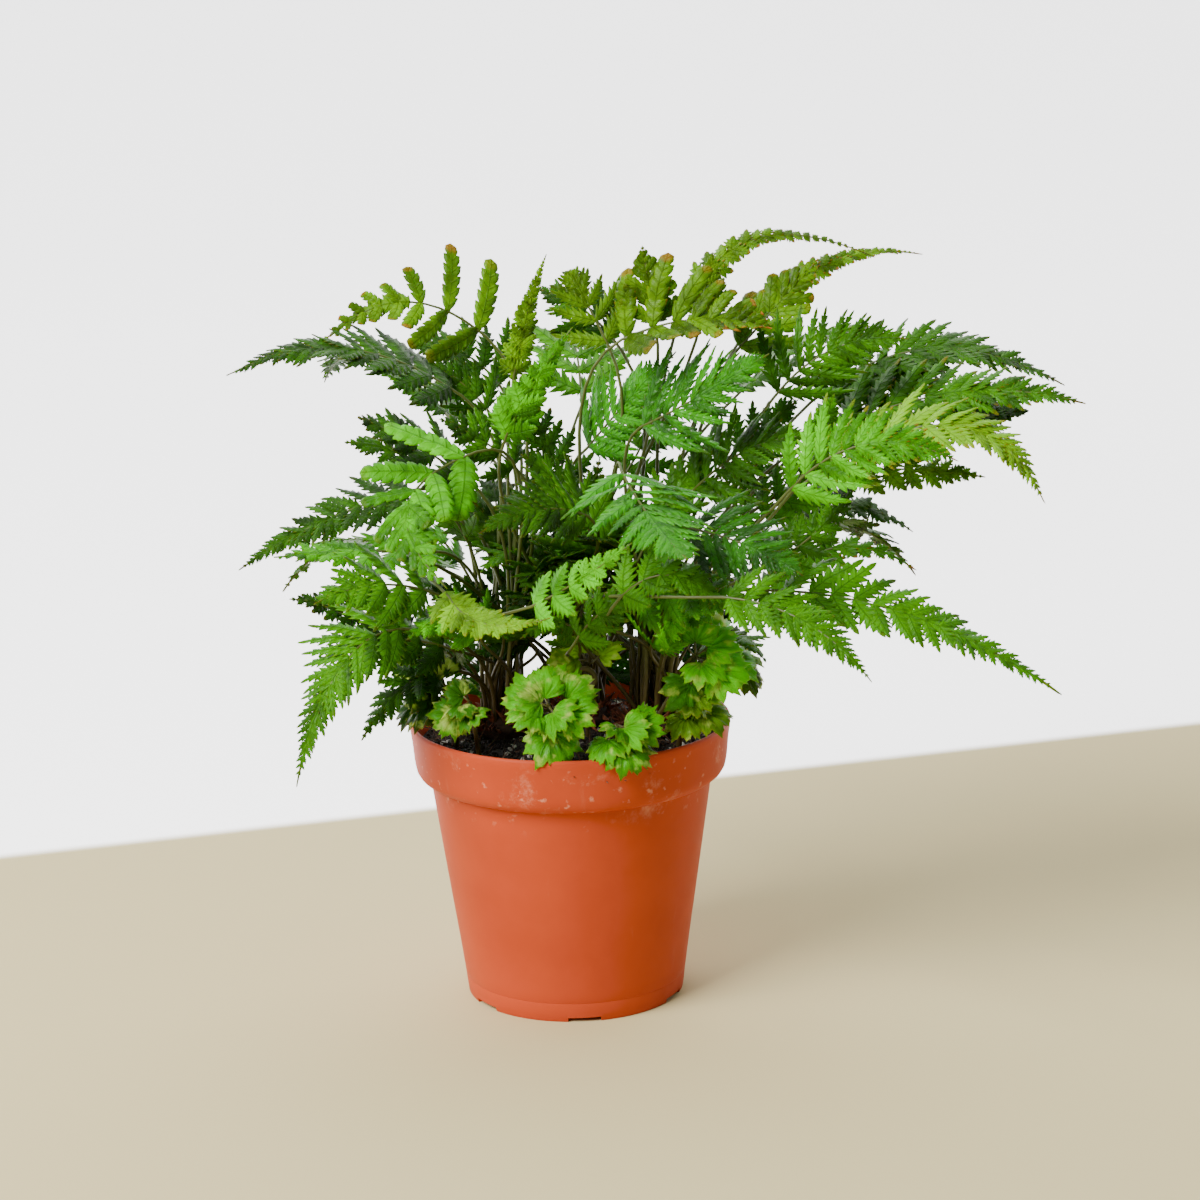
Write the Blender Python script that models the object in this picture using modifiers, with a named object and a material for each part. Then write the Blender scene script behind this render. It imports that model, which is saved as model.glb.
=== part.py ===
"""A toothed, divided fern in a round nursery pot.

All lengths are in metres, and MM turns a size in millimetres into metres. The pot stands on z = 0 and
everything is laid out round the pot's axis. At the end it all hangs on one empty, which brings the middle of
the whole plant's outline over the origin. The front of the plant faces -Y.
"""

import math
import random
from collections import Counter, namedtuple

import bmesh
import bpy
from mathutils import Matrix, Vector
from mathutils.bvhtree import BVHTree

MM = 0.001
UP = Vector((0.0, 0.0, 1.0))

# The whole plant's outline is off the pot's axis by this much, because the fronds lean to one side.
OUTLINE_CENTRE = Vector((30.0, 8.6, 0.0)) * MM

# Pot: a thin-walled nursery pot with a deep rim band and a notched foot.
POT_SIDES = 32
RIM_RADIUS = 54.0 * MM
RIM_HEIGHT = 95.5 * MM
BAND_RADIUS = 52.6 * MM
BAND_BOTTOM = 81.0 * MM
BAND_ROUND = Vector((1.4, 3.6)) * MM
STEP_HEIGHT = 75.5 * MM
STEP_RADIUS = 48.3 * MM
STEP_LEDGE = 0.3 * MM
WALL_TOP_RADIUS = 47.3 * MM
FOOT_RADIUS = 36.7 * MM
WALL = 1.4 * MM
FLOOR_UNDERSIDE = 2.6 * MM
FOOT_RING_WIDTH = 3.2 * MM
FOOT_RING_SLANT = 0.6 * MM
NOTCH_COUNT = 6
NOTCH_FIRST_ANGLE = math.radians(-85.4)
NOTCH_WIDTH = 11.0 * MM
NOTCH_HEIGHT = 1.5 * MM
DRAIN_RADIUS = 3.6 * MM
DRAIN_RING_RADIUS = 22.0 * MM
DRAIN_SIDES = 6

# Potting mix: fills the pot, with a gap that keeps the two solids apart.
GAP = 0.3 * MM
MIX_EDGE_HEIGHT = 87.5 * MM
MIX_CENTRE_HEIGHT = 90.0 * MM
MIX_RING_RADIUS = 27.0 * MM
MIX_LUMP = 0.7 * MM
HOLE_HEADROOM = 10.0 * MM

# Crowns: the short scaly rootstocks that the fronds grow from.
CROWN_CENTRES = (
    Vector((-22.0, 3.0, 0.0)) * MM,
    Vector((4.0, 13.0, 0.0)) * MM,
    Vector((28.0, 1.0, 0.0)) * MM,
)
CROWN_NAMES = ("crown_left", "crown_middle", "crown_right")
CROWN_RADIUS = 10.4 * MM
CROWN_FLOOR = 85.0 * MM
CROWN_SHOULDER = 93.5 * MM
CROWN_TOP = 98.0 * MM
CROWN_SIDES = 10
SCALE_COUNT = 5
SCALE_LENGTH = 7.0 * MM
SCALE_HALF_WIDTH = 1.6 * MM
SOCKET_RINGS = ((11, 7.4 * MM), (4, 3.15 * MM))
SOCKET_HALF = 1.45 * MM
SOCKET_FLOOR = 90.0 * MM

# Fronds: each has a stalk, a midrib and pairs of toothed pinnae that shorten towards the tip.
STALK_ROOT_RADIUS = 1.15 * MM
STALK_TOP_RADIUS = 1.0 * MM
STALK_UPRIGHT = 9.0 * MM
STALK_STEPS = 4
STALK_RISE = 0.38
STALK_ARRIVE = 0.3
STALK_PAST_KNEE = 2.0 * MM
BLADE_THICKNESS = 0.7 * MM
RIB_ROOT_DEPTH = 3.0 * MM
RIB_ROOT_HALF = 0.5 * MM
RIB_HALF = 0.9 * MM
FIRST_PAIR = 0.07
LAST_PAIR = 0.95
PAIRS_IN_TERMINAL = 4
PAIR_SHRINK = 0.86
PINNA_TAPER = 0.95
PINNA_BEND = 0.14
PINNA_SAG = 0.16
NARROW_REACH = 25.5
# Neighbouring pinnae that would cross are made slimmer and shorter, step by step. In that test each side of
# a pinna's base takes PINNA_BASE of the gap between two pairs.
PINNA_BASE = 0.475
PINNA_CLEARANCE = 0.02 * MM
SLIMMING_TRIES = 22
SLIMMER = 0.88
SHORTER = 0.97
# Outline of one pinna from root to tip and back: share of its length, share of its half width.
PINNA_OUTLINE = ((0.34, -1.0), (0.56, -0.55), (1.0, 0.0), (0.46, 1.0))
NARROW_OUTLINE = ((0.5, -1.0), (1.0, 0.0), (0.6, 1.0))
# The blade's end piece has one lobe and one notch a side: which of the last pairs each stands for, and its
# share of that pair's length.
TERMINAL_LOBE = (0, 0.9)
TERMINAL_NOTCH = (1, 0.45)

# The front viewpoint: a frond that would cross another one is moved nearer to it or further from it.
VIEWPOINT = Vector((11.0, -1076.0, 401.0)) * MM
CLEARANCE = 0.5 * MM
DEPTH_STEP = 5.0 * MM
BOW_STEP = 5.0 * MM
TURN_STEP = math.radians(12.0)

LEAF_COLOURS = {
    "pale": (0.36, 0.55, 0.08),
    "lime": (0.11, 0.52, 0.04),
    "mid": (0.06, 0.32, 0.03),
    "jade": (0.03, 0.30, 0.07),
    "deep": (0.02, 0.16, 0.02),
    "olive": (0.17, 0.30, 0.04),
}

# knee is where the first pinnae stand, then come the middle of the midrib and the tip, all in millimetres
# from the pot's axis and foot. reach is the longest pinna in millimetres, face is the way the upper side
# looks, angle is between a pinna and the midrib, and fold is how far both sides are raised, in degrees.
FROND_FIELDS = "name crown knee middle tip reach face pairs colour angle fold"
Frond = namedtuple("Frond", FROND_FIELDS, defaults=(60, 8))
FRONDS = (
    Frond("left_cascade", 0, (-26, -34, 194), (-49, -56, 181), (-36, -84, 161), 29, (-0.35, -0.8, 0.45), 6,
          "lime"),
    Frond("centre_star", 1, (18, -36, 188), (27, -66, 178), (38, -92, 170), 38, (0, -0.35, 0.95), 6, "jade"),
    Frond("centre_fan", 2, (24, -14, 196), (43, -26, 208), (66, -38, 224), 33, (-0.1, -0.85, 0.5), 5, "jade",
          angle=50),
    Frond("top_centre", 1, (18, -4, 223), (43, -10, 231), (68, -20, 229), 34, (0, -0.62, 0.78), 6, "olive",
          angle=74, fold=36),
    Frond("upper_left", 0, (-24, 18, 221), (-52, 14, 235), (-80, 8, 222), 31, (0, -0.85, 0.5), 5, "pale",
          angle=80, fold=22),
    Frond("left_long", 0, (-32, 8, 203), (-70, 0, 222), (-109, -12, 216), 27, (0, -0.35, 0.93), 6, "deep"),
    Frond("top_arch", 2, (43, 14, 235), (68, 22, 253), (106, 30, 244), 9, (0, -0.6, 0.8), 6, "olive"),
    Frond("top_right_tip", 2, (64, 26, 224), (91, 36, 242), (123, 44, 243), 10, (0, -0.6, 0.8), 6, "pale"),
    Frond("far_upper", 2, (81, 14, 197), (121, 12, 216), (166, 4, 204), 32, (0, -0.42, 0.9), 6, "deep"),
    Frond("far_lower", 2, (78, -4, 187), (124, -12, 205), (169, -22, 203), 31, (0, -0.42, 0.9), 6, "mid"),
    Frond("right_droop", 2, (80, -22, 180), (125, -34, 199), (153, -46, 175), 27, (0.1, -0.5, 0.85), 6,
          "pale"),
    Frond("right_low_long", 2, (55, -34, 146), (106, -50, 142), (156, -68, 118), 25, (0.15, -0.65, 0.75), 7,
          "mid"),
    Frond("right_bright", 2, (69, -48, 179), (94, -58, 198), (123, -68, 194), 27, (0, -0.85, 0.5), 5,
          "lime"),
    Frond("right_front", 1, (38, -50, 171), (57, -64, 168), (74, -78, 161), 25, (0, -0.8, 0.6), 5, "jade"),
    Frond("low_bright", 2, (21, -42, 149), (41, -58, 152), (58, -74, 149), 22, (0, -0.8, 0.6), 4, "lime"),
    Frond("left_low_droop", 0, (-51, -36, 136), (-72, -50, 128), (-87, -64, 92), 27, (-0.5, -0.75, 0.4), 6,
          "mid"),
    Frond("left_spear", 1, (-19, -25, 195), (-9, -30, 214), (4, -34, 233), 12, (0.1, -0.9, 0.4), 5, "lime"),
    Frond("front_sweep", 1, (-12, -60, 148), (5, -76, 161), (21, -88, 175), 15, (0, -0.85, 0.5), 5, "lime"),
    Frond("front_pale", 1, (-37, -72, 157), (-25, -86, 150), (-4, -96, 154), 13, (0, -0.6, 0.8), 5, "pale"),
    Frond("centre_high", 1, (7, -4, 187), (19, -14, 203), (37, -24, 223), 26, (-0.2, -0.8, 0.55), 4, "jade"),
    Frond("top_left_arm", 1, (16, 4, 224), (6, 8, 233), (-8, 10, 239), 22, (0, -0.6, 0.8), 4, "mid", 66),
    Frond("top_spear", 0, (-16, -4, 211), (-11, -6, 233), (-4, -8, 253), 8, (0.2, -0.95, 0.2), 5, "pale"),
    Frond("top_right_leaf", 2, (57, 6, 217), (71, 8, 232), (85, 10, 247), 22, (-0.3, -0.8, 0.5), 4, "olive",
          angle=50),
    Frond("left_round", 0, (-49, -17, 130), (-71, -23, 140), (-90, -28, 145), 18, (0, -0.7, 0.7), 4, "deep"),
    Frond("left_shade", 0, (-34, -12, 182), (-50, -20, 195), (-66, -26, 204), 24, (0, -0.6, 0.8), 4, "deep"),
    Frond("left_back", 0, (-20, 26, 202), (-34, 30, 215), (-52, 34, 216), 24, (-0.2, -0.5, 0.85), 4, "deep"),
    Frond("left_long_low", 0, (-48, 4, 174), (-80, -2, 165), (-108, -12, 151), 19, (-0.1, -0.55, 0.85), 6,
          "deep"),
    Frond("left_bright_low", 0, (-40, -34, 161), (-66, -44, 164), (-92, -54, 165), 22, (-0.1, -0.6, 0.8), 5,
          "lime"),
    Frond("left_mid_front", 0, (-43, -40, 149), (-61, -53, 155), (-79, -66, 152), 25, (-0.1, -0.75, 0.65), 5,
          "mid"),
    Frond("low_short", 1, (48, -54, 149), (74, -66, 144), (95, -80, 127), 18, (0, -0.7, 0.7), 5, "mid"),
    Frond("dark_feather", 1, (9, -30, 170), (-8, -42, 176), (-27, -54, 171), 22, (0, -0.8, 0.6), 5, "deep"),
    Frond("right_upper", 2, (68, -8, 203), (88, -14, 221), (112, -22, 225), 27, (0, -0.9, 0.4), 5, "mid"),
    Frond("right_inner", 1, (41, -6, 172), (59, -14, 188), (79, -22, 194), 28, (0, -0.7, 0.7), 5, "mid"),
    Frond("right_thin", 2, (68, 8, 165), (95, 12, 164), (117, 16, 153), 16, (0, -0.5, 0.85), 5, "deep"),
    Frond("right_curl", 2, (64, -16, 142), (89, -22, 157), (114, -28, 150), 15, (0, -0.6, 0.8), 5, "mid"),
    Frond("back_left", 0, (-36, 44, 186), (-68, 82, 206), (-88, 118, 190), 32, (0, 0.35, 0.95), 5, "deep"),
    Frond("back_middle", 1, (6, 54, 190), (2, 94, 210), (-8, 126, 188), 34, (0, 0.4, 0.9), 5, "mid"),
    Frond("back_right", 2, (56, 46, 192), (90, 82, 210), (112, 116, 192), 32, (0, 0.35, 0.95), 5, "mid"),
    Frond("back_low_left", 0, (-40, 40, 136), (-76, 68, 142), (-104, 92, 118), 25, (0, 0.3, 0.95), 5, "mid"),
    Frond("back_low_right", 2, (58, 42, 140), (96, 72, 144), (126, 98, 118), 25, (0, 0.3, 0.95), 5, "deep"),
)

# Young plants at the rim. place is on the mix and hub is where the leaves part, in millimetres. Each leaf
# has its angle round the hub in degrees, then its stalk and its radius in millimetres. face is the way they
# look.
Sprout = namedtuple("Sprout", "name place hub face leaves colour")
SPROUTS = (
    Sprout("sprout_front", (-8, -37), (-6, -44, 111), (0.0, -0.75, 0.65),
           ((88, 5, 11), (32, 6, 11), (146, 5, 11), (206, 5, 10), (268, 7, 12), (332, 6, 11)), "lime"),
    Sprout("sprout_front_right", (15, -38), (15, -46, 105), (0.1, -0.7, 0.7),
           ((295, 6, 11), (352, 6, 10), (232, 5, 9)), "lime"),
    Sprout("sprout_left", (-38, -12), (-40, -21, 111), (-0.3, -0.6, 0.7),
           ((204, 6, 13), (256, 7, 12), (143, 5, 11)), "mid"),
    Sprout("sprout_front_left", (-30, -28), (-32, -36, 111), (-0.1, -0.7, 0.7),
           ((211, 5, 9), (274, 4, 8), (121, 4, 8)), "lime"),
    Sprout("sprout_right", (24, -22), (42, -30, 124), (0.1, -0.8, 0.5),
           ((3, 8, 13), (318, 8, 12), (62, 7, 12), (132, 6, 11), (262, 9, 12)), "lime"),
    Sprout("sprout_right_front", (36, -24), (38, -33, 109), (0.2, -0.6, 0.8),
           ((318, 6, 10), (23, 5, 9), (247, 5, 9)), "olive"),
    Sprout("sprout_middle", (6, -8), (6, -11, 117), (0.0, -0.6, 0.8),
           ((91, 5, 9), (18, 5, 9), (163, 5, 9)), "pale"),
    Sprout("sprout_right_back", (44, 6), (54, 2, 113), (0.5, -0.4, 0.8),
           ((8, 5, 10), (67, 5, 9), (297, 5, 9)), "olive"),
    Sprout("sprout_left_back", (-40, 14), (-46, 4, 119), (-0.3, -0.5, 0.8),
           ((171, 6, 11), (112, 6, 10), (233, 6, 10)), "lime"),
)
SPROUT_STEM_RADIUS = 1.4 * MM
SPROUT_HUB_RADIUS = 1.3 * MM
SPROUT_HOLE_RADIUS = 2.1 * MM
SPROUT_DEPTH = 5.0 * MM
SPROUT_COLLAR = 2.0 * MM
PETIOLE_HALF = 0.55 * MM
PETIOLE_ROOT = 0.4 * MM
LEAF_NODS = (0.08, 0.62)
LEAF_ROOT_STEP = 0.13 * MM
LEAF_CUP = 0.16
LEAF_SHIFT = 0.35
# Fan-shaped toothed leaf: angle from its axis in degrees and share of its radius.
FAN_OUTLINE = ((-95, 0.42), (-62, 0.92), (-36, 0.56), (0, 1.05), (36, 0.56), (62, 0.92), (95, 0.42))

# One young frond still rolled up.
CROZIER_PLACE = Vector((1.0, -15.0, 0.0)) * MM
CROZIER_HEIGHT = 112.0 * MM
CROZIER_RADIUS = 1.1 * MM
CROZIER_END_SHRINK = 0.35
CROZIER_COIL = 4.4 * MM
CROZIER_COIL_SHRINK = 0.62
CROZIER_TURNS = 1.3
CROZIER_STEPS = 12


def clear_scene():
    for old in list(bpy.data.objects):
        bpy.data.objects.remove(old)


def new_collection(name, hidden=False):
    collection = bpy.data.collections.new(name)
    bpy.context.scene.collection.children.link(collection)
    collection.hide_render = hidden
    return collection


def principled(name, colour, roughness, metallic=0.0):
    material = bpy.data.materials.new(name)
    material.use_nodes = True
    shader = material.node_tree.nodes["Principled BSDF"]
    shader.inputs["Base Color"].default_value = (*colour, 1.0)
    shader.inputs["Roughness"].default_value = roughness
    shader.inputs["Metallic"].default_value = metallic
    return material


def mesh_object(name, points, faces, material, collection):
    mesh = bpy.data.meshes.new(name)
    mesh.from_pydata([tuple(point) for point in points], [], faces)
    if material:
        mesh.materials.append(material)
    obj = bpy.data.objects.new(name, mesh)
    collection.objects.link(obj)
    return obj


def set_outward(obj):
    """Welds the object's seams and turns all its faces the same way, outwards where it is closed."""
    work = bmesh.new()
    work.from_mesh(obj.data)
    bmesh.ops.remove_doubles(work, verts=work.verts, dist=0.001 * MM)
    bmesh.ops.recalc_face_normals(work, faces=work.faces)
    work.to_mesh(obj.data)
    work.free()


def freeze(obj):
    """Turns the object, with its modifiers, into a plain mesh object of the same name and place."""
    graph = bpy.context.evaluated_depsgraph_get()
    mesh = bpy.data.meshes.new_from_object(obj.evaluated_get(graph))
    frozen = bpy.data.objects.new(obj.name + "_frozen", mesh)
    frozen.matrix_world = obj.matrix_world.copy()
    obj.users_collection[0].objects.link(frozen)
    name = obj.name
    bpy.data.objects.remove(obj)
    frozen.name = name
    mesh.name = name
    set_outward(frozen)
    return frozen


def boolean(obj, others, operation, helpers):
    """Joins the others to the object or cuts them from it, and removes them."""
    group = bpy.data.collections.new("tools_of_" + obj.name)
    helpers.children.link(group)
    for other in others:
        for owner in list(other.users_collection):
            owner.objects.unlink(other)
        group.objects.link(other)
        other.hide_render = True
        other.display_type = "WIRE"
    modifier = obj.modifiers.new(operation.lower(), "BOOLEAN")
    modifier.operation = operation
    modifier.operand_type = "COLLECTION"
    modifier.collection = group
    modifier.solver = "EXACT"
    bpy.context.view_layer.update()
    result = freeze(obj)
    for other in others:
        bpy.data.objects.remove(other)
    bpy.data.collections.remove(group)
    return result


def turned(name, profile, sides, material, collection):
    """A solid of revolution about Z from (radius, height) points that run down its outer side."""
    points = [(radius, 0.0, height) for radius, height in profile]
    obj = mesh_object(name, points, [], material, collection)
    obj.data.edges.add(len(profile) - 1)
    for i, edge in enumerate(obj.data.edges):
        edge.vertices = (i, i + 1)
    screw = obj.modifiers.new("turn", "SCREW")
    screw.steps = sides
    screw.render_steps = sides
    screw.use_merge_vertices = True
    screw.merge_threshold = 0.01 * MM
    return freeze(obj)


def prism(name, radius, low, high, place, sides, collection, turn=0.0):
    """An upright prism, used as a cutter for a plain hole."""
    work = bmesh.new()
    stand = Matrix.Translation((place.x, place.y, (high + low) / 2)) @ Matrix.Rotation(turn, 4, "Z")
    bmesh.ops.create_cone(
        work, cap_ends=True, segments=sides, radius1=radius, radius2=radius, depth=high - low, matrix=stand
    )
    mesh = bpy.data.meshes.new(name)
    work.to_mesh(mesh)
    work.free()
    obj = bpy.data.objects.new(name, mesh)
    collection.objects.link(obj)
    return obj


def tube(name, points, radii, material, collection):
    """A slim rod through the points, as a mesh with welded caps."""
    curve = bpy.data.curves.new(name, "CURVE")
    curve.dimensions = "3D"
    curve.twist_mode = "MINIMUM"
    curve.bevel_depth = 1.0
    curve.bevel_resolution = 0
    curve.use_fill_caps = True
    spline = curve.splines.new("POLY")
    spline.points.add(len(points) - 1)
    for target, point, radius in zip(spline.points, points, radii):
        target.co = (*point, 1.0)
        target.radius = radius
    if material:
        curve.materials.append(material)
    obj = bpy.data.objects.new(name, curve)
    collection.objects.link(obj)
    return freeze(obj)


def sheet(name, points, faces, material, collection):
    """A thin solid of the blade's thickness from an open, triangulated surface."""
    obj = mesh_object(name, points, faces, material, collection)
    set_outward(obj)
    solidify = obj.modifiers.new("thickness", "SOLIDIFY")
    solidify.thickness = BLADE_THICKNESS
    solidify.offset = 0.0
    return freeze(obj)


def smooth(obj, angle=math.radians(40)):
    obj.data.shade_smooth()
    obj.data.set_sharp_from_angle(angle=angle)


def pot_profile():
    wall_run = (WALL_TOP_RADIUS - FOOT_RADIUS) / (STEP_HEIGHT - NOTCH_HEIGHT)
    floor_top = FLOOR_UNDERSIDE + WALL
    floor_radius = FOOT_RADIUS + wall_run * floor_top - WALL
    lip = WALL / 2
    return (
        (0.0, floor_top),
        (floor_radius, floor_top),
        (WALL_TOP_RADIUS - WALL, STEP_HEIGHT),
        (BAND_RADIUS - WALL, BAND_BOTTOM),
        (RIM_RADIUS - WALL - lip, RIM_HEIGHT - lip),
        (RIM_RADIUS - WALL, RIM_HEIGHT),
        (RIM_RADIUS - lip, RIM_HEIGHT),
        (RIM_RADIUS, RIM_HEIGHT - lip),
        (BAND_RADIUS, BAND_BOTTOM),
        (BAND_RADIUS - BAND_ROUND.x, BAND_BOTTOM - BAND_ROUND.y),
        (STEP_RADIUS, STEP_HEIGHT),
        (WALL_TOP_RADIUS, STEP_HEIGHT - STEP_LEDGE),
        (FOOT_RADIUS, 0.0),
        (FOOT_RADIUS - FOOT_RING_WIDTH, 0.0),
        (FOOT_RADIUS - FOOT_RING_WIDTH - FOOT_RING_SLANT, FLOOR_UNDERSIDE),
        (0.0, FLOOR_UNDERSIDE),
    )


def foot_angle(index):
    return NOTCH_FIRST_ANGLE + index * math.tau / NOTCH_COUNT


def notch_cutter(index, helpers):
    """A block across the foot ring that leaves a shallow gap under it."""
    middle = FOOT_RADIUS - FOOT_RING_WIDTH / 2
    size = (4 * FOOT_RING_WIDTH, NOTCH_WIDTH, 2 * NOTCH_HEIGHT)
    work = bmesh.new()
    bmesh.ops.create_cube(work, size=1.0)
    bmesh.ops.scale(work, vec=size, verts=work.verts)
    bmesh.ops.translate(work, vec=(middle, 0.0, 0.0), verts=work.verts)
    turn = Matrix.Rotation(foot_angle(index), 3, "Z")
    bmesh.ops.rotate(work, cent=(0, 0, 0), matrix=turn, verts=work.verts)
    mesh = bpy.data.meshes.new("notch")
    work.to_mesh(mesh)
    work.free()
    obj = bpy.data.objects.new(f"notch_{index}", mesh)
    helpers.objects.link(obj)
    return obj


def make_pot(parts, helpers):
    terracotta = principled("terracotta_plastic", (0.55, 0.13, 0.055), 0.42)
    pot = turned("pot", pot_profile(), POT_SIDES, terracotta, parts)
    cutters = [notch_cutter(i, helpers) for i in range(NOTCH_COUNT)]
    for i in range(NOTCH_COUNT):
        angle = foot_angle(i)
        place = Vector((math.cos(angle), math.sin(angle), 0.0)) * DRAIN_RING_RADIUS
        high = 3 * FLOOR_UNDERSIDE
        cutters.append(prism(f"drain_{i}", DRAIN_RADIUS, 0.0, high, place, DRAIN_SIDES, helpers))
    pot = boolean(pot, cutters, "DIFFERENCE", helpers)
    smooth(pot)
    return pot


def mix_profile():
    """Runs from the top's centre out to the pot's inner wall and down it, clear of both wall and floor."""
    pot = pot_profile()
    floor_radius, floor_top = pot[1]
    wall_radius, wall_top = pot[2]
    band_radius, band_bottom = pot[3]
    rim_radius, rim_height = pot[4]
    share = (MIX_EDGE_HEIGHT - band_bottom) / (rim_height - band_bottom)
    edge_radius = band_radius + (rim_radius - band_radius) * share
    side_gap = 1.3 * GAP
    half_way = (MIX_CENTRE_HEIGHT + MIX_EDGE_HEIGHT) / 2
    return (
        (0.0, MIX_CENTRE_HEIGHT),
        (MIX_RING_RADIUS, half_way),
        (edge_radius - side_gap, MIX_EDGE_HEIGHT),
        (band_radius - side_gap, band_bottom),
        (wall_radius - side_gap, wall_top),
        (floor_radius - side_gap, floor_top + GAP),
        (0.0, floor_top + GAP),
    )


def hole_floor(place):
    """Height of the bottom of a sprout's hole, a set depth under the top of the mix."""
    share = min(1.0, place.length / RIM_RADIUS)
    return MIX_CENTRE_HEIGHT + (MIX_EDGE_HEIGHT - MIX_CENTRE_HEIGHT) * share - SPROUT_DEPTH


def make_mix(parts, helpers):
    """The potting mix: lumpy on top, with pits for the crowns and holes for the sprouts."""
    soil = principled("potting_mix", (0.035, 0.022, 0.014), 0.95)
    mix = turned("potting_mix", mix_profile(), POT_SIDES, soil, parts)
    for vertex in mix.data.vertices:
        x, y, z = vertex.co
        if z > MIX_EDGE_HEIGHT + 0.1 * MM:
            vertex.co.z += MIX_LUMP * math.sin(x / MM * 0.37 + 1.0) * math.cos(y / MM * 0.43)
    high = MIX_CENTRE_HEIGHT + HOLE_HEADROOM
    cutters = [
        prism(f"pit_{i}", CROWN_RADIUS + 2 * GAP, CROWN_FLOOR - GAP, high, centre, CROWN_SIDES, helpers)
        for i, centre in enumerate(CROWN_CENTRES)
    ]
    places = [Vector((*sprout.place, 0.0)) * MM for sprout in SPROUTS] + [CROZIER_PLACE]
    for place in places:
        low = hole_floor(place) - GAP
        cutters.append(prism("hole", SPROUT_HOLE_RADIUS, low, high, place, 6, helpers))
    mix = boolean(mix, cutters, "DIFFERENCE", helpers)
    smooth(mix)
    return mix


def sockets_of(centre):
    """Every place on a crown where a frond's stalk stands, with the way it lies from the crown's middle."""
    places = []
    for count, radius in SOCKET_RINGS:
        for i in range(count):
            angle = math.tau * (i + 0.5) / count
            places.append(centre + Vector((math.cos(angle), math.sin(angle), 0.0)) * radius)
    return places


def assign_roots():
    """Gives each frond, in the order of the list, the free socket of its crown that is nearest its knee."""
    free = [sockets_of(centre) for centre in CROWN_CENTRES]
    outer = SOCKET_RINGS[0][1]
    roots = {}
    for frond in FRONDS:
        centre = CROWN_CENTRES[frond.crown]
        towards = Vector((frond.knee[0], frond.knee[1], 0.0)) * MM - centre
        wish = centre + towards.normalized() * outer
        place = min(free[frond.crown], key=lambda spot: (spot - wish).length)
        free[frond.crown].remove(place)
        roots[frond.name] = Vector((place.x, place.y, SOCKET_FLOOR + GAP))
    return roots


def scale_spike(crown_name, centre, index, helpers):
    """One pointed papery scale that leans out from the crown's shoulder."""
    angle = math.tau * index / SCALE_COUNT + 0.3
    out = Vector((math.cos(angle), math.sin(angle), 0.0))
    along = Vector((-out.y, out.x, 0.0)) * SCALE_HALF_WIDTH
    foot = centre + out * (CROWN_RADIUS - 2.2 * MM) + UP * (CROWN_SHOULDER - 1.0 * MM)
    lean = 0.25 + 0.12 * (index % 3)
    tip = foot + (out * lean + UP).normalized() * SCALE_LENGTH
    corners = [foot + along, foot - along, foot + out * 1.4 * MM, tip]
    faces = [(0, 2, 1), (0, 1, 3), (1, 2, 3), (2, 0, 3)]
    spike = mesh_object(f"{crown_name}_scale_{index}", corners, faces, None, helpers)
    set_outward(spike)
    return spike


def make_crown(index, roots, parts, helpers):
    """A scaly knob sunk in the mix, with a plain socket for each stalk that grows from it."""
    name, centre = CROWN_NAMES[index], CROWN_CENTRES[index]
    chaff = principled("crown_scales", (0.22, 0.07, 0.03), 0.85)
    profile = (
        (0.0, CROWN_TOP),
        (0.62 * CROWN_RADIUS, CROWN_TOP - 0.5 * MM),
        (CROWN_RADIUS, CROWN_SHOULDER),
        (CROWN_RADIUS - 0.6 * MM, CROWN_FLOOR),
        (0.0, CROWN_FLOOR),
    )
    crown = turned(name, profile, CROWN_SIDES, chaff, parts)
    for vertex in crown.data.vertices:
        vertex.co += centre
    spikes = [scale_spike(name, centre, i, helpers) for i in range(SCALE_COUNT)]
    crown = boolean(crown, spikes, "UNION", helpers)
    corner = SOCKET_HALF * math.sqrt(2)
    cutters = []
    for root in [roots[frond.name] for frond in FRONDS if frond.crown == index]:
        way = root - centre
        turn = math.atan2(way.y, way.x) + math.pi / 4
        cutters.append(
            prism(f"{name}_socket", corner, SOCKET_FLOOR, CROWN_TOP + HOLE_HEADROOM, root, 4, helpers, turn)
        )
    crown = boolean(crown, cutters, "DIFFERENCE", helpers)
    smooth(crown)
    return crown


def on_parabola(start, middle, end, t):
    """Point and direction at t on the parabola that passes the middle point half way."""
    control = 2 * middle - (start + end) / 2
    point = start * (1 - t) ** 2 + control * 2 * t * (1 - t) + end * t * t
    direction = (control - start) * (1 - t) + (end - control) * t
    return point, direction.normalized()


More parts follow.
